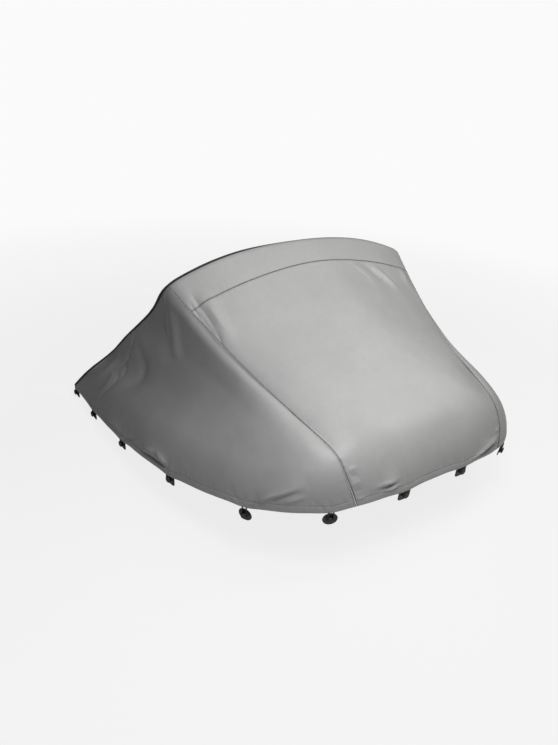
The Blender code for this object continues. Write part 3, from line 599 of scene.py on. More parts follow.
def relief(around, down, points):
    """How far the cloth stands out from the plain surface."""
    around, down = np.broadcast_arrays(around, down)
    length, port_half = run_length(around), np.abs(around)
    below, above_hem = down * length, (1.0 - down) * length
    across = from_long_seam(around, down)
    arc = hem_arc(port_half) * np.sign(around)
    hem_size = np.minimum(1.0, CORNER_SHARE * length / HEM_BAND)
    above_hem = above_hem / hem_size

    lift = ridges(points, FOLD_LINES, False) + ridges(points, CREASE_LINES, True)
    taut = np.where(port_half < 1.0, TAUT_FRONT, 1.0)
    lift += taut * (waves_of(points, *SLOW_WAVES) + waves_of(points, *QUICK_WAVES))
    lift += seam_relief(across)
    on_front = port_half <= 1.0
    cross = np.where(on_front, below - BAND_WIDTH, 1.0)
    lift += np.where(on_front, seam_relief(cross), 0.0)

    along = below + PUCKER_DRIFT * unevenness(points, *DRIFT_WAVES, 5)
    lift += ripples(along, *LONG_PUCKERS) * np.exp(-(np.abs(across) / PUCKER_REACH) ** 1.5)
    sideways = points[..., 0] + PUCKER_DRIFT * unevenness(points, *DRIFT_WAVES, 6)
    beside_cross = np.where(on_front, np.exp(-(np.abs(cross) / PUCKER_REACH) ** 1.5), 0.0)
    lift += ripples(sideways, *CROSS_PUCKERS) * beside_cross

    hem_wave = ripples(arc + 0.010 * unevenness(points, 0.25, 0.10, 7), *HEM_WAVES)
    lift += taut ** 2 * hem_size * hem_wave * np.exp(-((above_hem - HEM_WAVE_PLACE) / HEM_WAVE_REACH) ** 2)
    lift += hem_size * HEM_BULGE * np.sin(math.pi * np.clip(above_hem / HEM_STITCH, 0.0, 1.0))
    lift -= hem_size * HEM_STITCH_DIP * np.exp(-((above_hem - HEM_STITCH) / HEM_STITCH_REACH) ** 2)
    lift -= hem_size * HEM_EDGE_DIP * np.exp(-(above_hem / HEM_EDGE_REACH) ** 2)

    over_hoop = 1.0 - smooth_step(port_half, 1.0, 1.10)
    roll = np.clip(1.0 - below / HOOP_ROLL_REACH, 0.0, 1.0) ** 2
    depth = HOOP_ROLL + HOOP_ROLL_MORE * smooth_step(around, -0.60, -0.10)
    return lift - depth * over_hoop * roll


def cloth(around, down, lift=0.0):
    """Points of the dressed outer face, and the plain normals there."""
    around, down = np.broadcast_arrays(np.asarray(around, float), np.asarray(down, float))
    points, normals = plain_cloth(around, down), cloth_normal(around, down)
    return points + normals * (relief(around, down, points) + lift)[..., None], normals


# ---------------------------------------------------------------- meshes


def placed(name, data):
    """An object in the scene."""
    item = bpy.data.objects.new(name, data)
    bpy.context.scene.collection.objects.link(item)
    return item


def linked(name, mesh, material):
    """An object with one material, in the scene and on the cover's body."""
    item = placed(name, mesh)
    mesh.materials.append(material)
    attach(item, "root")
    return item


def quad_mesh(name, corners, quads, extra=()):
    """A smooth mesh from corners, an array of quads and a few other faces."""
    mesh = bpy.data.meshes.new(name)
    mesh.from_pydata(corners.tolist(), [], quads.tolist() + list(extra))
    mesh.shade_smooth()
    return mesh


def grid_quads(rows, columns, wrap=False):
    """Quads between neighbours of a grid of corners, rows first; wrap joins the last column to the first."""
    across = np.arange(columns if wrap else columns - 1)
    start = (np.arange(rows - 1) * columns)[:, None]
    right = (across + 1) % columns
    below = start + columns
    quads = np.stack([start + across, start + right, below + right, below + across], axis=-1)
    return quads.reshape(-1, 4)


def metric_uv(mesh, points, columns):
    """A UV map in metres: along the rows and down the columns."""
    steps_across = np.linalg.norm(np.diff(points, axis=1), axis=-1)
    across = np.concatenate([np.zeros((len(points), 1)), np.cumsum(steps_across, axis=1)], axis=1)
    across -= across[:, columns // 2:columns // 2 + 1]
    steps_down = np.linalg.norm(np.diff(points, axis=0), axis=-1)
    downward = np.concatenate([np.zeros((1, columns)), np.cumsum(steps_down, axis=0)], axis=0)
    write_uv(mesh, np.stack([across, downward], axis=-1).reshape(-1, 2))


def write_uv(mesh, places):
    """One UV place for each vertex."""
    corners = np.empty(len(mesh.loops), dtype=np.int32)
    mesh.loops.foreach_get("vertex_index", corners)
    layer = mesh.uv_layers.new(name="metres")
    layer.data.foreach_set("uv", places[corners].astype(np.float32).ravel())


def write_mask(mesh, name, values):
    """A number from 0 to 1 for each vertex, for the finish to read."""
    layer = mesh.attributes.new(name=name, type="FLOAT", domain="POINT")
    layer.data.foreach_set("value", np.clip(values, 0.0, 1.0).astype(np.float32).ravel())


def between(first, last, step):
    """Even places from first to last, without the ends, about a step apart."""
    count = max(2, math.ceil(abs(last - first) / step))
    return np.linspace(first, last, count + 1)[1:-1]


def panel_downs(around, top, near_top, near_bottom, bottom, step):
    """Down-coordinates of a panel's rows at each column: close together by its edges, even between."""
    length = run_length(around)[None, :]
    top_size = np.minimum(1.0, CORNER_SHARE * length / near_top[-1])
    bottom_size = np.minimum(1.0, CORNER_SHARE * length / near_bottom[-1])
    first = top + np.array(near_top)[:, None] * top_size
    foot = length if bottom is None else bottom + 0.0 * length
    last = foot - np.array(near_bottom)[::-1, None] * bottom_size
    count = math.ceil(float((last[0] - first[-1]).max()) / step)
    share = np.linspace(0.0, 1.0, count + 1)[1:-1, None]
    return np.vstack([first, first[-1] + (last[0] - first[-1]) * share, last]) / length


def front_arounds(downs, count):
    """Around-coordinates between the long seams, close together beside them, for each row's down."""
    width = np.interp(downs, *FRONT_WIDTH)[:, None]
    near = 1.0 - (GAP + np.array(NEAR_SEAM)[None, :]) / width
    share = np.linspace(-1.0, 1.0, count)[None, 1:-1]
    return np.hstack([-near, near[:, -1:] * share, near[:, ::-1]])


def side_arounds(downs, count):
    """Around-coordinates from a long seam to the aft corner, for each row's down."""
    width = np.interp(downs, *SIDE_WIDTH)[:, None]
    near = 1.0 + (GAP + np.array(NEAR_SEAM)[None, :]) / width
    share = np.linspace(0.0, 1.0, count)[None, 1:]
    return np.hstack([near, near[:, -1:] + (2.0 - near[:, -1:]) * share])


def panel_object(name, around, down, node, hemmed, material, inside):
    """A panel of cloth: the dressed outer face with its thickness inward."""
    points, _ = cloth(around, down)
    rows, columns = points.shape[:2]
    mesh = quad_mesh(name, points.reshape(-1, 3), grid_quads(rows, columns)[:, ::-1])
    metric_uv(mesh, points, columns)
    length = run_length(around)
    above_hem = (1.0 - down) * length
    seam = np.abs(from_long_seam(around, down))
    cross = np.where(np.abs(around) <= 1.0, np.abs(down * length - BAND_WIDTH), 1.0)
    write_mask(mesh, "near_seam", np.exp(-np.minimum(seam, cross) / 0.010))
    # mask for the painted shade along the seams' grooves
    write_mask(mesh, "seam_painted_shade", np.exp(-(np.minimum(seam, cross) / SEAM_SHADE_REACH) ** 2))
    write_mask(mesh, "near_hem", np.exp(-above_hem / 0.060))
    item = linked(name, mesh, material)
    mesh.materials.append(inside)
    shell = item.modifiers.new("thickness", "SOLIDIFY")
    shell.thickness, shell.offset, shell.use_even_offset = (HEM_CLOTH if hemmed else CLOTH), -1.0, False
    shell.material_offset = 1
    if hemmed:
        group = item.vertex_groups.new(name="hem")
        rim = np.nonzero((above_hem < HEM_BAND).ravel())[0]
        group.add(rim.tolist(), 1.0, "REPLACE")
        shell.vertex_group, shell.thickness_vertex_group = "hem", CLOTH / HEM_CLOTH
    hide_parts(node)
    return item


def settle_rows(around_of, downs_of, passes=3):
    """Around- and down-coordinates of a panel's grid, where each depends a little on the other."""
    down = downs_of(around_of(np.array([0.5]))[0])
    for _ in range(passes):
        around = around_of(down.mean(axis=1))
        down = downs_of(around.mean(axis=0))
    return around, down


# ---------------------------------------------------------------- stitching


def stitch_mesh(name, runs):
    """Thread stitches along several runs of (around, down) places, each a small lozenge of thread."""
    corners, quads, caps = [], [], []
    ring = full_turn(5)
    for around, down, pitch in runs:
        line, normals = cloth(around, down)
        along = travelled(line)
        starts = np.arange(pitch * 0.5, along[-1] - pitch, pitch)
        stops = starts + pitch * 0.78
        first, last, up = (
            np.stack([np.interp(places, along, values[:, k]) for k in range(3)], axis=1)
            for places, values in ((starts, line), (stops, line), (starts, normals)))
        way = last - first
        way /= np.linalg.norm(way, axis=1, keepdims=True)
        across = np.cross(up, way)
        round_way = np.cos(ring)[None, :, None] * across[:, None] + np.sin(ring)[None, :, None] * up[:, None]
        rings = [
            (centre + up * rise)[:, None] + THREAD / 2 * size * round_way
            for size, centre, rise in (
                (0.5, first, 0.0), (1.0, first * 0.72 + last * 0.28, 0.00022),
                (1.0, first * 0.28 + last * 0.72, 0.00022), (0.5, last, 0.0))
        ]
        base = sum(len(c) for c in corners)
        corners.append(np.stack(rings, axis=1).reshape(-1, 3))
        pattern = grid_quads(4, 5, wrap=True)
        offsets = base + np.arange(len(first)) * 20
        quads.append((offsets[:, None, None] + pattern[None]).reshape(-1, 4))
        caps += [[int(o) + k for k in (4, 3, 2, 1, 0)] for o in offsets]
        caps += [[int(o) + 15 + k for k in range(5)] for o in offsets]
    return quad_mesh(name, np.concatenate(corners), np.concatenate(quads), caps)


def long_seam_run(side, row):
    """Places along a long seam, at a distance from it on the side panel."""
    down = np.linspace(0.012, 0.997, 500)
    return side * (1.0 + row / np.interp(down, *SIDE_WIDTH)), down, STITCH_PITCH


def cross_seam_run(row):
    """Places along the cross seam, below it on the front panel."""
    around = np.linspace(-0.985, 0.985, 500)
    return around, (BAND_WIDTH + row) / run_length(around), STITCH_PITCH


def hem_run():
    """Places along the hem's stitch line, from one aft corner to the other."""
    around = np.linspace(-1.955, 1.955, 1400)
    length = run_length(around)
    return around, 1.0 - HEM_STITCH * np.minimum(1.0, CORNER_SHARE * length / HEM_BAND) / length, STITCH_PITCH


# ---------------------------------------------------------------- binding


def binding_mesh():
    """The tape folded over the rear edge, with soft corners at the ends of its legs."""
    around = np.concatenate([
        np.linspace(-2.0, -1.1, 220)[:-1], np.linspace(-1.1, 1.1, 380), np.linspace(1.1, 2.0, 220)[1:],
    ])
    length = run_length(around)
    leg = np.minimum(TAPE_LEG, CORNER_SHARE * length)
    shares = np.linspace(1.0, 0.0, 7)
    rows, normals = cloth(around[None, :], shares[:, None] * leg[None, :] / length[None, :])
    edge, inward = rows[-1], rows[-3] - rows[-1]
    inward /= np.linalg.norm(inward, axis=-1, keepdims=True)
    up = normals[-1]
    middle = edge - up * CLOTH / 2
    ring = []
    for outer in (True, False):
        clear = TAPE_CLEAR + (TAPE if outer else 0.0)
        upper = [rows[i] + normals[i] * clear for i in range(7)]
        radius = CLOTH / 2 + clear
        turns = np.radians([60, 30, 0, -30, -60])
        fold = [middle + radius * (math.sin(t) * up - math.cos(t) * inward) for t in turns]
        lower = [rows[i] - normals[i] * (CLOTH + clear) for i in range(6, -1, -1)]
        ring.append(upper + fold + lower)
    outer, inner = ring
    lip_top, lip_low = ((outer[k] + inner[k]) / 2 + (rows[0] - rows[1]) * 0.15 for k in (0, -1))
    section = np.stack([*outer, lip_low, *inner[::-1], lip_top], axis=1)
    stations, around_tape = section.shape[:2]
    quads = grid_quads(stations, around_tape, wrap=True)
    half = len(outer)
    caps = []
    for base, flip in ((0, False), ((stations - 1) * around_tape, True)):
        for k in range(half - 1):
            face = [base + k, base + k + 1, base + 2 * half - k - 1, base + 2 * half - k]
            caps.append(face[::-1] if not flip else face)
        low = [base + half - 1, base + half, base + half + 1]
        top = [base + 2 * half, base + 2 * half + 1, base]
        caps += [low[::-1], top[::-1]] if not flip else [low, top]
    mesh = quad_mesh("rear_edge_tape", section.reshape(-1, 3), quads, caps)
    along = travelled(edge)
    round_tape = travelled(section.mean(axis=0))
    write_uv(mesh, np.stack(np.broadcast_arrays(along[:, None], round_tape[None, :]), axis=-1).reshape(-1, 2))
    return mesh


# ---------------------------------------------------------------- studs and cord loops


# shares of the pad's size and of its height
PAD_RINGS = (
    (0.02, 0.0), (0.5, 0.0), (0.96, 0.0), (0.99, 0.06), (1.0, 0.2), (1.0, 0.42),
    (0.985, 0.66), (0.955, 0.84), (0.91, 0.955), (0.87, 0.99), (0.80, 1.0), (0.77, 0.93),
)
# shares of the neck's radius and of the pad's height
NECK_RINGS = ((1.75, 0.92), (1.35, 0.97), (1.10, 1.15), (0.98, 1.5))
# shares of the button's radius, and metres above its foot or its top
BUTTON_RINGS = (
    (0.84, 0.0), (0.94, 0.0003), (0.985, 0.0011), (1.0, 0.0022),
    (0.985, 0.0034), (0.93, 0.0045), (0.84, 0.0053),
)
BUTTON_TOP_RINGS = (
    (0.70, -0.0001), (0.60, 0.0), (0.54, -0.0004), (0.49, -0.0009),
    (0.35, -0.0008), (0.16, -0.0005), (0.01, -0.0004),
)


def stud_rings(pad):
    """Rings of a stud from its back to the top of its button: width, height, squareness, level."""
    neck_top = PAD_HEIGHT + NECK_HEIGHT
    top = neck_top + BUTTON_HEIGHT
    if pad == "round":
        wide, tall, square = ROUND_PAD_RADIUS, ROUND_PAD_RADIUS, 2.0
    else:
        wide, tall, square = SQUARE_PAD_WIDTH / 2, SQUARE_PAD_HEIGHT / 2, 4.6
    rings = [(wide * a, tall * a, square, PAD_HEIGHT * b) for a, b in PAD_RINGS]
    rings += [(wide * 0.74, tall * 0.74, (square + 2.0) / 2, PAD_HEIGHT * 0.90)]
    round_rings = [(NECK_RADIUS * a, PAD_HEIGHT * b) for a, b in NECK_RINGS]
    round_rings += [(NECK_RADIUS * 0.96, neck_top - 0.0012), (NECK_RADIUS * 1.04, neck_top - 0.0004)]
    round_rings += [(BUTTON_RADIUS * a, neck_top + b) for a, b in BUTTON_RINGS]
    round_rings += [(BUTTON_RADIUS * a, top + b) for a, b in BUTTON_TOP_RINGS]
    return rings + [(r, r, 2.0, z) for r, z in round_rings]


def ringed_mesh(name, rings):
    """A closed mesh from rings of corners, one after the other, with a cap at both ends."""
    segments = len(rings[0])
    last = (len(rings) - 1) * segments
    caps = [list(range(segments))[::-1], [last + k for k in range(segments)]]
    quads = grid_quads(len(rings), segments, wrap=True)
    return quad_mesh(name, np.stack(rings).reshape(-1, 3), quads, caps)


def stud_mesh(pad, segments=56):
    """A rubber stud: a pad with a rolled rim and a dished face, a neck and a rounded button."""
    turn = full_turn(segments)
    rings = []
    for wide, tall, square, level in stud_rings(pad):
        power = 2.0 / square
        x = wide * np.sign(np.cos(turn)) * np.abs(np.cos(turn)) ** power
        y = tall * np.sign(np.sin(turn)) * np.abs(np.sin(turn)) ** power
        rings.append(np.stack([x, y, np.full(segments, level)], axis=-1))
    return ringed_mesh("stud_" + pad, rings)


def fastening_frame(side, arc, angle):
    """Placement of a stud: X along the hem, Y up the tube, Z out of the boat, with its back at Z 0."""
    signed = np.array([side * arc])
    place = on_tube(signed, np.array([math.radians(angle)]), STUD_BASE)[0] - UP * (HOOP_CROWN_Z - CLOTH)
    _, outward = tube_frame(signed)
    turn = math.radians(angle)
    out = Vector(outward[0]) * math.cos(turn) + Vector((0.0, 0.0, math.sin(turn)))
    along = Vector((0.0, 0.0, 1.0)).cross(out).normalized()
    up = out.cross(along)
    return Matrix.Translation(Vector(place)) @ Matrix((along, up, out)).transposed().to_4x4()


def hem_edge(arc):
    """The middle of the hem's lower edge."""
    points, normals = cloth(np.array([math.copysign(around_at(abs(arc)), arc)]), np.array([1.0]))
    return points[0] - normals[0] * HEM_CLOTH / 2


def loop_line(place, side, arc):
    """Centre line of a cord loop: out of the hem, down round the neck and back up."""
    reach = NECK_RADIUS + GAP + CORD / 2
    height = PAD_HEIGHT + GAP + CORD / 2
    under = [
        Vector((-reach * math.cos(t), -reach * math.sin(t), height)) for t in np.linspace(0.0, math.pi, 13)
    ]
    inverse = place.inverted()
    ends = [inverse @ Vector(hem_edge(side * min(arc + k * 0.8 * reach, END_ARC - CORD))) for k in (-1, 1)]
    left, right = sorted(ends, key=lambda point: point.x)
    over_left, over_right = left.lerp(under[0], CORD_RISE), right.lerp(under[-1], CORD_RISE)
    over_left.z = over_right.z = height
    tuck = Vector((0.0, 0.003, 0.0))
    knots = np.array([left + tuck, over_left, *under, over_right, right + tuck])
    return curve_through(knots, 64)


def curve_through(knots, count):
    """A smooth curve through knots, evenly spaced."""
    along = travelled(knots)
    fine = np.linspace(0.0, along[-1], count)
    return np.stack([smooth_through(along, knots[:, k], fine) for k in range(3)], axis=1)


def cord_mesh(name, line, segments=16):
    """A round cord along a line, with rounded cut ends and UVs in metres."""
    way = np.gradient(line, axis=0)
    way /= np.linalg.norm(way, axis=1, keepdims=True)
    side = np.cross(way[0], UP if abs(way[0] @ UP) < 0.9 else np.array([1.0, 0.0, 0.0]))
    turn = full_turn(segments)
    rings = []
    for place, direction in zip(line, way):
        side = side - direction * (side @ direction)
        side /= np.linalg.norm(side)
        other = np.cross(direction, side)
        rings.append(place + CORD / 2 * (np.cos(turn)[:, None] * side + np.sin(turn)[:, None] * other))
    mesh = ringed_mesh(name, rings)
    along = travelled(line)
    places = np.stack(np.broadcast_arrays(along[:, None], CORD / 2 * turn[None, :]), axis=-1)
    write_uv(mesh, places.reshape(-1, 2))
    return mesh


# ---------------------------------------------------------------- finishes


def effect(name, inputs, outputs):
    """A new node group with named sockets: (name, kind, default) rows."""
    tree = bpy.data.node_groups.new(name, "ShaderNodeTree")
    for socket, kind, default in inputs:
        made = tree.interface.new_socket(socket, in_out="INPUT", socket_type=kind)
        if default is not None:
            made.default_value = default
    for socket, kind in outputs:
        tree.interface.new_socket(socket, in_out="OUTPUT", socket_type=kind)
    return tree, tree.nodes.new("NodeGroupInput").outputs, tree.nodes.new("NodeGroupOutput").inputs


def node(tree, kind, values=(), **settings):
    """A node with its settings, and its inputs set or linked by name or number."""
    made = tree.nodes.new(kind)
    for key, value in settings.items():
        setattr(made, key, value)
    for key, value in dict(values).items():
        if isinstance(value, bpy.types.NodeSocket):
            tree.links.new(value, made.inputs[key])
        else:
            made.inputs[key].default_value = value
    return made


def sums(tree, operation, first, second=0.0):
    """One Math node's result."""
    return node(tree, "ShaderNodeMath", {0: first, 1: second}, operation=operation).outputs[0]


def noise(tree, where, scale, detail=3.0, roughness=0.5):
    """A noise value at a place."""
    values = {"Vector": where, "Scale": scale, "Detail": detail, "Roughness": roughness}
    return node(tree, "ShaderNodeTexNoise", values).outputs["Fac"]


def ranged(tree, value, low, high, to_low=0.0, to_high=1.0):
    """A value mapped from one range to another, clamped."""
    values = {"Value": value, "From Min": low, "From Max": high, "To Min": to_low, "To Max": to_high}
    return node(tree, "ShaderNodeMapRange", values).outputs["Result"]


def mixed(tree, share, first, second):
    """A mix of two colours."""
    return node(tree, "ShaderNodeMix", {0: share, 6: first, 7: second}, data_type="RGBA").outputs[2]


def times(tree, first, second):
    """The product of two values."""
    return sums(tree, "MULTIPLY", first, second)


FLOAT, COLOUR, VECTOR = "NodeSocketFloat", "NodeSocketColor", "NodeSocketVector"


def weave_effect():
    """Plain weave: threads over and under, from a UV in metres."""
    tree, given, out = effect("plain_weave", [
        ("Place", VECTOR, None), ("Threads per Metre", FLOAT, 900.0), ("Slub", FLOAT, 0.3),
    ], [("Height", FLOAT), ("Gaps", FLOAT)])
    wobble = noise(tree, given["Place"], 60.0, 2.0)
    parts = node(tree, "ShaderNodeSeparateXYZ", {0: given["Place"]})
    angle = []
    for axis in (0, 1):
        turns = times(tree, parts.outputs[axis], given["Threads per Metre"])
        turns = sums(tree, "ADD", turns, times(tree, wobble, given["Slub"]))
        angle.append(times(tree, turns, math.pi))
    warp = sums(tree, "SINE", angle[0])
    weft = sums(tree, "SINE", angle[1])
    both = times(tree, warp, weft)
    height = sums(tree, "MULTIPLY_ADD", both, 0.5)
    height.node.inputs[2].default_value = 0.5
    tree.links.new(height, out["Height"])
    gaps = times(tree, sums(tree, "ABSOLUTE", warp), sums(tree, "ABSOLUTE", weft))
    tree.links.new(sums(tree, "SUBTRACT", 1.0, gaps), out["Gaps"])
    return tree


def mottle_effect():
    """Slow and fine colour variation of a used surface, and its unevenness of gloss."""
    tree, given, out = effect("mottle", [
        ("Place", VECTOR, None), ("Slow Scale", FLOAT, 3.0), ("Fine Scale", FLOAT, 60.0),
        ("Base", COLOUR, (0.4, 0.4, 0.4, 1.0)), ("Dark", COLOUR, (0.3, 0.3, 0.3, 1.0)),
        ("Light", COLOUR, (0.5, 0.5, 0.5, 1.0)), ("Strength", FLOAT, 0.5),
    ], [("Colour", COLOUR), ("Mask", FLOAT)])
    slow = noise(tree, given["Place"], given["Slow Scale"], 4.0, 0.55)
    fine = noise(tree, given["Place"], given["Fine Scale"], 5.0, 0.6)
    dark = times(tree, ranged(tree, slow, 0.50, 0.28), given["Strength"])
    light = times(tree, ranged(tree, slow, 0.50, 0.74), given["Strength"])
    shaded = mixed(tree, dark, given["Base"], given["Dark"])
    lit = mixed(tree, light, shaded, given["Light"])
    grain = times(tree, ranged(tree, fine, 0.45, 0.75), times(tree, given["Strength"], 0.45))
    tree.links.new(mixed(tree, grain, lit, given["Dark"]), out["Colour"])
    both = sums(tree, "ADD", times(tree, slow, 0.6), times(tree, fine, 0.4))
    tree.links.new(both, out["Mask"])
    return tree


def dust_effect():
    """Pale dust that settles on upward faces, patchy."""
    tree, given, out = effect("settled_dust", [
        ("Place", VECTOR, None), ("Colour", COLOUR, (0.4, 0.4, 0.4, 1.0)),
        ("Dust", COLOUR, (0.42, 0.40, 0.36, 1.0)), ("Amount", FLOAT, 0.2), ("Scale", FLOAT, 12.0),
    ], [("Colour", COLOUR), ("Mask", FLOAT)])
    patches = noise(tree, given["Place"], given["Scale"], 6.0, 0.65)
    normal = node(tree, "ShaderNodeNewGeometry").outputs["Normal"]
    upward = node(tree, "ShaderNodeSeparateXYZ", {0: normal}).outputs[2]
    mask = times(tree, ranged(tree, patches, 0.42, 0.72), ranged(tree, upward, 0.1, 0.9))
    mask = times(tree, mask, given["Amount"])
    tree.links.new(mixed(tree, mask, given["Colour"], given["Dust"]), out["Colour"])
    tree.links.new(mask, out["Mask"])
    return tree


def place_effect(tree, group, values):
    """An effect placed in a material, with its own values."""
    return node(tree, "ShaderNodeGroup", values, node_tree=group).outputs


def mottled(tree, where, slow, fine, base, dark, light, strength):
    """The mottle effect with its scales and colours."""
    return place_effect(tree, MOTTLE, {
        "Place": where, "Slow Scale": slow, "Fine Scale": fine,
        "Base": base, "Dark": dark, "Light": light, "Strength": strength,
    })


def dusted(tree, where, colour, dust, amount, **more):
    """The colour with settled dust on it."""
    values = {"Place": where, "Colour": colour, "Dust": dust, "Amount": amount, **more}
    return place_effect(tree, DUST, values)["Colour"]


def attribute(tree, name):
    """One of the masks written on the mesh."""
    return node(tree, "ShaderNodeAttribute", attribute_name=name).outputs["Fac"]


def metres_of(tree):
    """The UV place in metres."""
    return node(tree, "ShaderNodeUVMap", uv_map="metres").outputs[0]


def place_of(tree):
    """The place on the object."""
    return node(tree, "ShaderNodeTexCoord").outputs["Object"]


def new_finish(name):
    """A new material: its tree, its shader, and the places its effects read."""
    material = bpy.data.materials.new(name)
    material.use_nodes = True
    tree = material.node_tree
    shader = tree.nodes["Principled BSDF"]
    return material, tree, shader


def rough_from(tree, shader, mask, low, high):
    """Gloss that varies with a mask."""
    tree.links.new(ranged(tree, mask, 0.3, 0.7, low, high), shader.inputs["Roughness"])


def bump_into(tree, shader, layers):
    """Bump layers (height, strength, distance) one over the other."""
    normal = None
    for height, strength, distance in layers:
        made = node(tree, "ShaderNodeBump", {"Height": height, "Strength": strength, "Distance": distance})
        if normal is not None:
            tree.links.new(normal, made.inputs["Normal"])
        normal = made.outputs["Normal"]
    tree.links.new(normal, shader.inputs["Normal"])


def grey(level, warm=0.0):
    """A grey with a touch of warmth."""
    return (level * (1 + warm), level, level * (1 - warm), 1.0)


WEAVE, MOTTLE, DUST = weave_effect(), mottle_effect(), dust_effect()


def cloth_finish(name, base, dark, light, gloss):
    """Grey coated polyester with a satin face, and painted shade darkening the grooves of its seams."""
    material, tree, shader = new_finish(name)
    metres = metres_of(tree)
    where = place_of(tree)
    weave = place_effect(tree, WEAVE, {"Place": metres, "Threads per Metre": 1100.0, "Slub": 0.5})
    mottle = mottled(tree, where, 3.2, 46.0, base, dark, light, 0.55)
    threads = mixed(tree, times(tree, weave["Gaps"], 0.10), mottle["Colour"], dark)
    seam = attribute(tree, "near_seam")
    rubbed = times(tree, ranged(tree, noise(tree, where, 85.0, 4.0, 0.6), 0.40, 0.70), seam)
    worn = mixed(tree, times(tree, rubbed, 0.35), threads, light)
    hem = attribute(tree, "near_hem")
    grime = times(tree, ranged(tree, noise(tree, where, 14.0, 6.0, 0.65), 0.40, 0.72), hem)
    soiled = mixed(tree, times(tree, grime, 0.30), worn, dark)
    dusty = dusted(tree, where, soiled, light, 0.10, Scale=9.0)
    # painted shade: the cloth is darkened towards a near-black grey along the seams' grooves
    painted_seam_shade = attribute(tree, "seam_painted_shade")
    shaded = mixed(tree, times(tree, painted_seam_shade, 0.90), dusty, grey(0.07))
    tree.links.new(shaded, shader.inputs["Base Color"])
    rough_from(tree, shader, mottle["Mask"], gloss - 0.05, gloss + 0.07)
    shader.inputs["Specular IOR Level"].default_value = 0.5
    shader.inputs["Sheen Weight"].default_value = 0.06
    shader.inputs["Sheen Roughness"].default_value = 0.45
    crumple = noise(tree, where, 22.0, 5.0, 0.55)
    bump_into(tree, shader, [(crumple, 0.10, 0.004), (weave["Height"], 0.16, 0.0003)])
    return material


def tape_finish():
    """Black ribbed webbing tape."""
    material, tree, shader = new_finish("black_ribbed_tape")
    metres = metres_of(tree)
    where = place_of(tree)
    weave = place_effect(tree, WEAVE, {"Place": metres, "Threads per Metre": 700.0, "Slub": 0.2})
    mottle = mottled(tree, where, 14.0, 180.0, grey(0.012), grey(0.006), grey(0.030, 0.02), 0.8)
    tree.links.new(dusted(tree, where, mottle["Colour"], grey(0.10, 0.04), 0.25), shader.inputs["Base Color"])
    rough_from(tree, shader, mottle["Mask"], 0.62, 0.78)
    shader.inputs["Sheen Weight"].default_value = 0.15
    bump_into(tree, shader, [(weave["Height"], 0.7, 0.0005)])
    return material


def rubber_finish():
    """Black moulded rubber with a satin face, scuffed on its edges."""
    material, tree, shader = new_finish("black_moulded_rubber")
    where = place_of(tree)
    mottle = mottled(tree, where, 45.0, 420.0, grey(0.016), grey(0.009), grey(0.034, 0.02), 0.7)
    edges = ranged(tree, node(tree, "ShaderNodeNewGeometry").outputs["Pointiness"], 0.52, 0.60)
    scuffed = mixed(tree, times(tree, edges, 0.35), mottle["Colour"], grey(0.07, 0.01))
    dusty = dusted(tree, where, scuffed, grey(0.12, 0.05), 0.35, Scale=60.0)
    tree.links.new(dusty, shader.inputs["Base Color"])
    rough_from(tree, shader, mottle["Mask"], 0.34, 0.52)
    grain = noise(tree, where, 900.0, 3.0, 0.6)
    bump_into(tree, shader, [(grain, 0.25, 0.0004)])
    return material


def cord_finish():
    """Black braided elastic cord."""
    material, tree, shader = new_finish("black_braided_cord")
    metres = metres_of(tree)
    where = place_of(tree)
    slant = (0.0, 0.0, math.radians(45.0))
    turned = node(tree, "ShaderNodeMapping", {"Vector": metres, "Rotation": slant}).outputs[0]
    braid = place_effect(tree, WEAVE, {"Place": turned, "Threads per Metre": 900.0, "Slub": 0.1})
    mottle = mottled(tree, where, 60.0, 700.0, grey(0.011), grey(0.005), grey(0.035, 0.02), 0.8)
    tree.links.new(mottle["Colour"], shader.inputs["Base Color"])
    rough_from(tree, shader, mottle["Mask"], 0.55, 0.72)
    shader.inputs["Sheen Weight"].default_value = 0.2
    bump_into(tree, shader, [(braid["Height"], 0.9, 0.0006)])
    return material


def thread_finish(name, base, dark, light):
    """Twisted sewing thread."""
    material, tree, shader = new_finish(name)
    where = place_of(tree)
    mottle = mottled(tree, where, 30.0, 1500.0, base, dark, light, 0.7)
    tree.links.new(mottle["Colour"], shader.inputs["Base Color"])
    rough_from(tree, shader, mottle["Mask"], 0.45, 0.6)
    bump_into(tree, shader, [(noise(tree, where, 2600.0, 2.0), 0.3, 0.0002)])
    return material


# ---------------------------------------------------------------- the cover


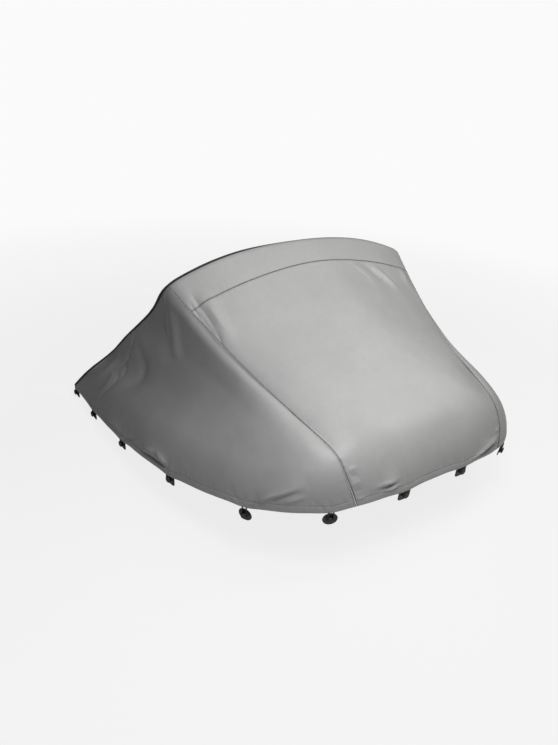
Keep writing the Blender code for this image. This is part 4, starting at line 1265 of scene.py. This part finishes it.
def add_cover():
    """The four panels, the tape, the stitching, the studs and the cord loops."""
    face = cloth_finish("grey_coated_cloth", grey(0.41, -0.006), grey(0.34, -0.012), grey(0.47, 0.0), 0.44)
    back = cloth_finish("grey_cloth_back", grey(0.30, 0.006), grey(0.24), grey(0.36, 0.01), 0.60)
    tape, rubber, cord = tape_finish(), rubber_finish(), cord_finish()
    grey_thread = thread_finish("grey_thread", grey(0.17), grey(0.11), grey(0.24, 0.01))

    def front_downs(around):
        return panel_downs(around, BAND_WIDTH + GAP, NEAR_SEAM, NEAR_HEM, None, ROW_STEP)

    def band_downs(around):
        return panel_downs(around, 0.0, NEAR_EDGE, NEAR_SEAM, BAND_WIDTH - GAP, ROW_STEP)

    def side_downs(around):
        return panel_downs(around, 0.0, NEAR_EDGE, NEAR_HEM + ABOVE_HEM, None, SIDE_ROW_STEP)

    def stitches(name, runs):
        return linked(name, stitch_mesh(name, runs), grey_thread)

    def front_columns(down):
        return front_arounds(down, FRONT_COLUMNS)

    def side_columns(down):
        return side_arounds(down, SIDE_COLUMNS)

    front = panel_object(
        "front_panel", *settle_rows(front_columns, front_downs), "panel_front", True, face, back)
    band = panel_object(
        "hoop_band", *settle_rows(front_columns, band_downs), "panel_hoop_band", False, face, back)
    for side, sign in SIDES.items():
        around, down = settle_rows(side_columns, side_downs)
        if sign < 0:
            around, down = -around[:, ::-1], down[:, ::-1]
        panel_object("side_panel_" + side, around, down, "panel_side_" + side, True, face, back)

    binding = linked("rear_edge_tape", binding_mesh(), tape)
    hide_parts("binding_rear_edge")

    for side, sign in SIDES.items():
        runs = [long_seam_run(sign, row) for row in SEAM_STITCHES]
        stitches("long_seam_stitches_" + side, runs)
    stitches("cross_seam_stitches", [cross_seam_run(row) for row in SEAM_STITCHES])
    stitches("hem_stitches", [hem_run()])

    studs = {pad: stud_mesh(pad) for pad in ("round", "square")}
    for side, sign in SIDES.items():
        for name, arc, angle, pad in FASTENINGS:
            place = fastening_frame(sign, arc, angle)
            mesh = studs[pad].copy()
            mesh.transform(place)
            stud = linked(f"stud_{side}_{name}", mesh, rubber)
            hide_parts(f"lashing_stud_{side}_{name}")
            line = np.array([place @ Vector(point) for point in loop_line(place, sign, arc)])
            loop = linked(f"loop_{side}_{name}", cord_mesh(f"loop_{side}_{name}", line), cord)
            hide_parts(f"cord_loop_{side}_{name}")


# ---------------------------------------------------------------- floor, light and camera


PALE = (0.955, 0.955, 0.955, 1.0)
FLOOR_GLOW = 0.86            # share of the floor's paleness, near the cover, that doesn't depend on the lamps
FLOOR_FADE = (1.6, 4.0)      # distances between which that share grows to the whole


def add_floor():
    """A plain pale floor, which keeps the cover's soft shadow."""
    mesh = bpy.data.meshes.new("studio_floor")
    half, level = 30.0, CAD_BOX[0][2] - 0.003
    corners = [(-half, -half, level), (half, -half, level), (half, half, level), (-half, half, level)]
    mesh.from_pydata(corners, [], [(0, 1, 2, 3)])
    floor = placed("studio_floor", mesh)
    material, tree, shader = new_finish("pale_floor")
    where = place_of(tree)
    shade = mixed(tree, noise(tree, where, 0.6, 2.0), (0.84, 0.84, 0.84, 1.0), (0.88, 0.88, 0.88, 1.0))
    tree.links.new(shade, shader.inputs["Base Color"])
    shader.inputs["Roughness"].default_value = 0.9
    glow = node(tree, "ShaderNodeEmission", {"Color": PALE}).outputs[0]
    seen = node(tree, "ShaderNodeLightPath").outputs["Is Camera Ray"]
    away = node(tree, "ShaderNodeVectorMath", {0: where}, operation="LENGTH").outputs["Value"]
    share = times(tree, seen, ranged(tree, away, *FLOOR_FADE, FLOOR_GLOW, 1.0))
    surface = node(tree, "ShaderNodeMixShader", {0: share, 1: shader.outputs[0], 2: glow}).outputs[0]
    tree.links.new(surface, tree.nodes["Material Output"].inputs["Surface"])
    mesh.materials.append(material)


AIM = Vector((0.0, -0.20, -0.45))


SOFTBOXES = [
    # name, place, size, power, colour
    ("softbox_port", (1.5, -1.0, 1.5), 1.2, 22.0, (1.0, 0.985, 0.945)),
    ("softbox_above", (0.0, -0.6, 1.7), 1.2, 9.0, (1.0, 0.985, 0.945)),
    ("softbox_ahead", (-0.6, -1.4, 1.0), 0.8, 22.0, (1.0, 0.995, 0.990)),
    ("softbox_starboard", (-2.2, -1.4, 1.2), 1.2, 1.6, (0.90, 0.96, 1.0)),
]
FILL = 0.03                  # strength of the even fill


def add_softbox(name, place, size, power, colour):
    """A square soft light aimed at the cover."""
    light = bpy.data.lights.new(name, "AREA")
    light.size, light.energy, light.color = size, power, colour
    lamp = placed(name, light)
    lamp.location = place
    lamp.rotation_euler = (AIM - Vector(place)).to_track_quat("-Z", "Y").to_euler()
    lamp.visible_camera = False


def add_light():
    """Soft light from above, ahead and the port side, and a weak even fill."""
    for row in SOFTBOXES:
        add_softbox(*row)
    world = bpy.data.worlds.new("studio")
    bpy.context.scene.world = world
    world.use_nodes = True
    tree = world.node_tree
    shade = tree.nodes["Background"]
    shade.inputs["Color"].default_value = PALE
    seen = node(tree, "ShaderNodeLightPath").outputs["Is Camera Ray"]
    tree.links.new(ranged(tree, seen, 0.0, 1.0, FILL, 1.0), shade.inputs["Strength"])
    bpy.context.scene.view_settings.view_transform = "Standard"


VIEW_AZIMUTH, VIEW_ELEVATION, VIEW_ROLL = -35.686, 28.111, 4.681
VIEW_PLACE = (-1.6629, -2.2552, 0.8094)
VIEW_LENS = 41.462


def add_camera():
    """The camera, at the photograph's view."""
    data = bpy.data.cameras.new("view")
    data.sensor_fit, data.sensor_width, data.lens = "HORIZONTAL", 36.0, VIEW_LENS
    camera = placed("view", data)
    a, e, roll = (math.radians(value) for value in (VIEW_AZIMUTH, VIEW_ELEVATION, VIEW_ROLL))
    back = Vector((math.sin(a) * math.cos(e), -math.cos(a) * math.cos(e), math.sin(e)))
    right = (-back).cross(Vector((0.0, 0.0, 1.0))).normalized()
    up = right.cross(-back)
    right_rolled = math.cos(roll) * right + math.sin(roll) * up
    up_rolled = -math.sin(roll) * right + math.cos(roll) * up
    turned = Matrix((right_rolled, up_rolled, back)).transposed().to_4x4()
    camera.matrix_world = Matrix.Translation(Vector(VIEW_PLACE)) @ turned
    bpy.context.scene.camera = camera


add_camera()
add_floor()
add_light()
add_cover()
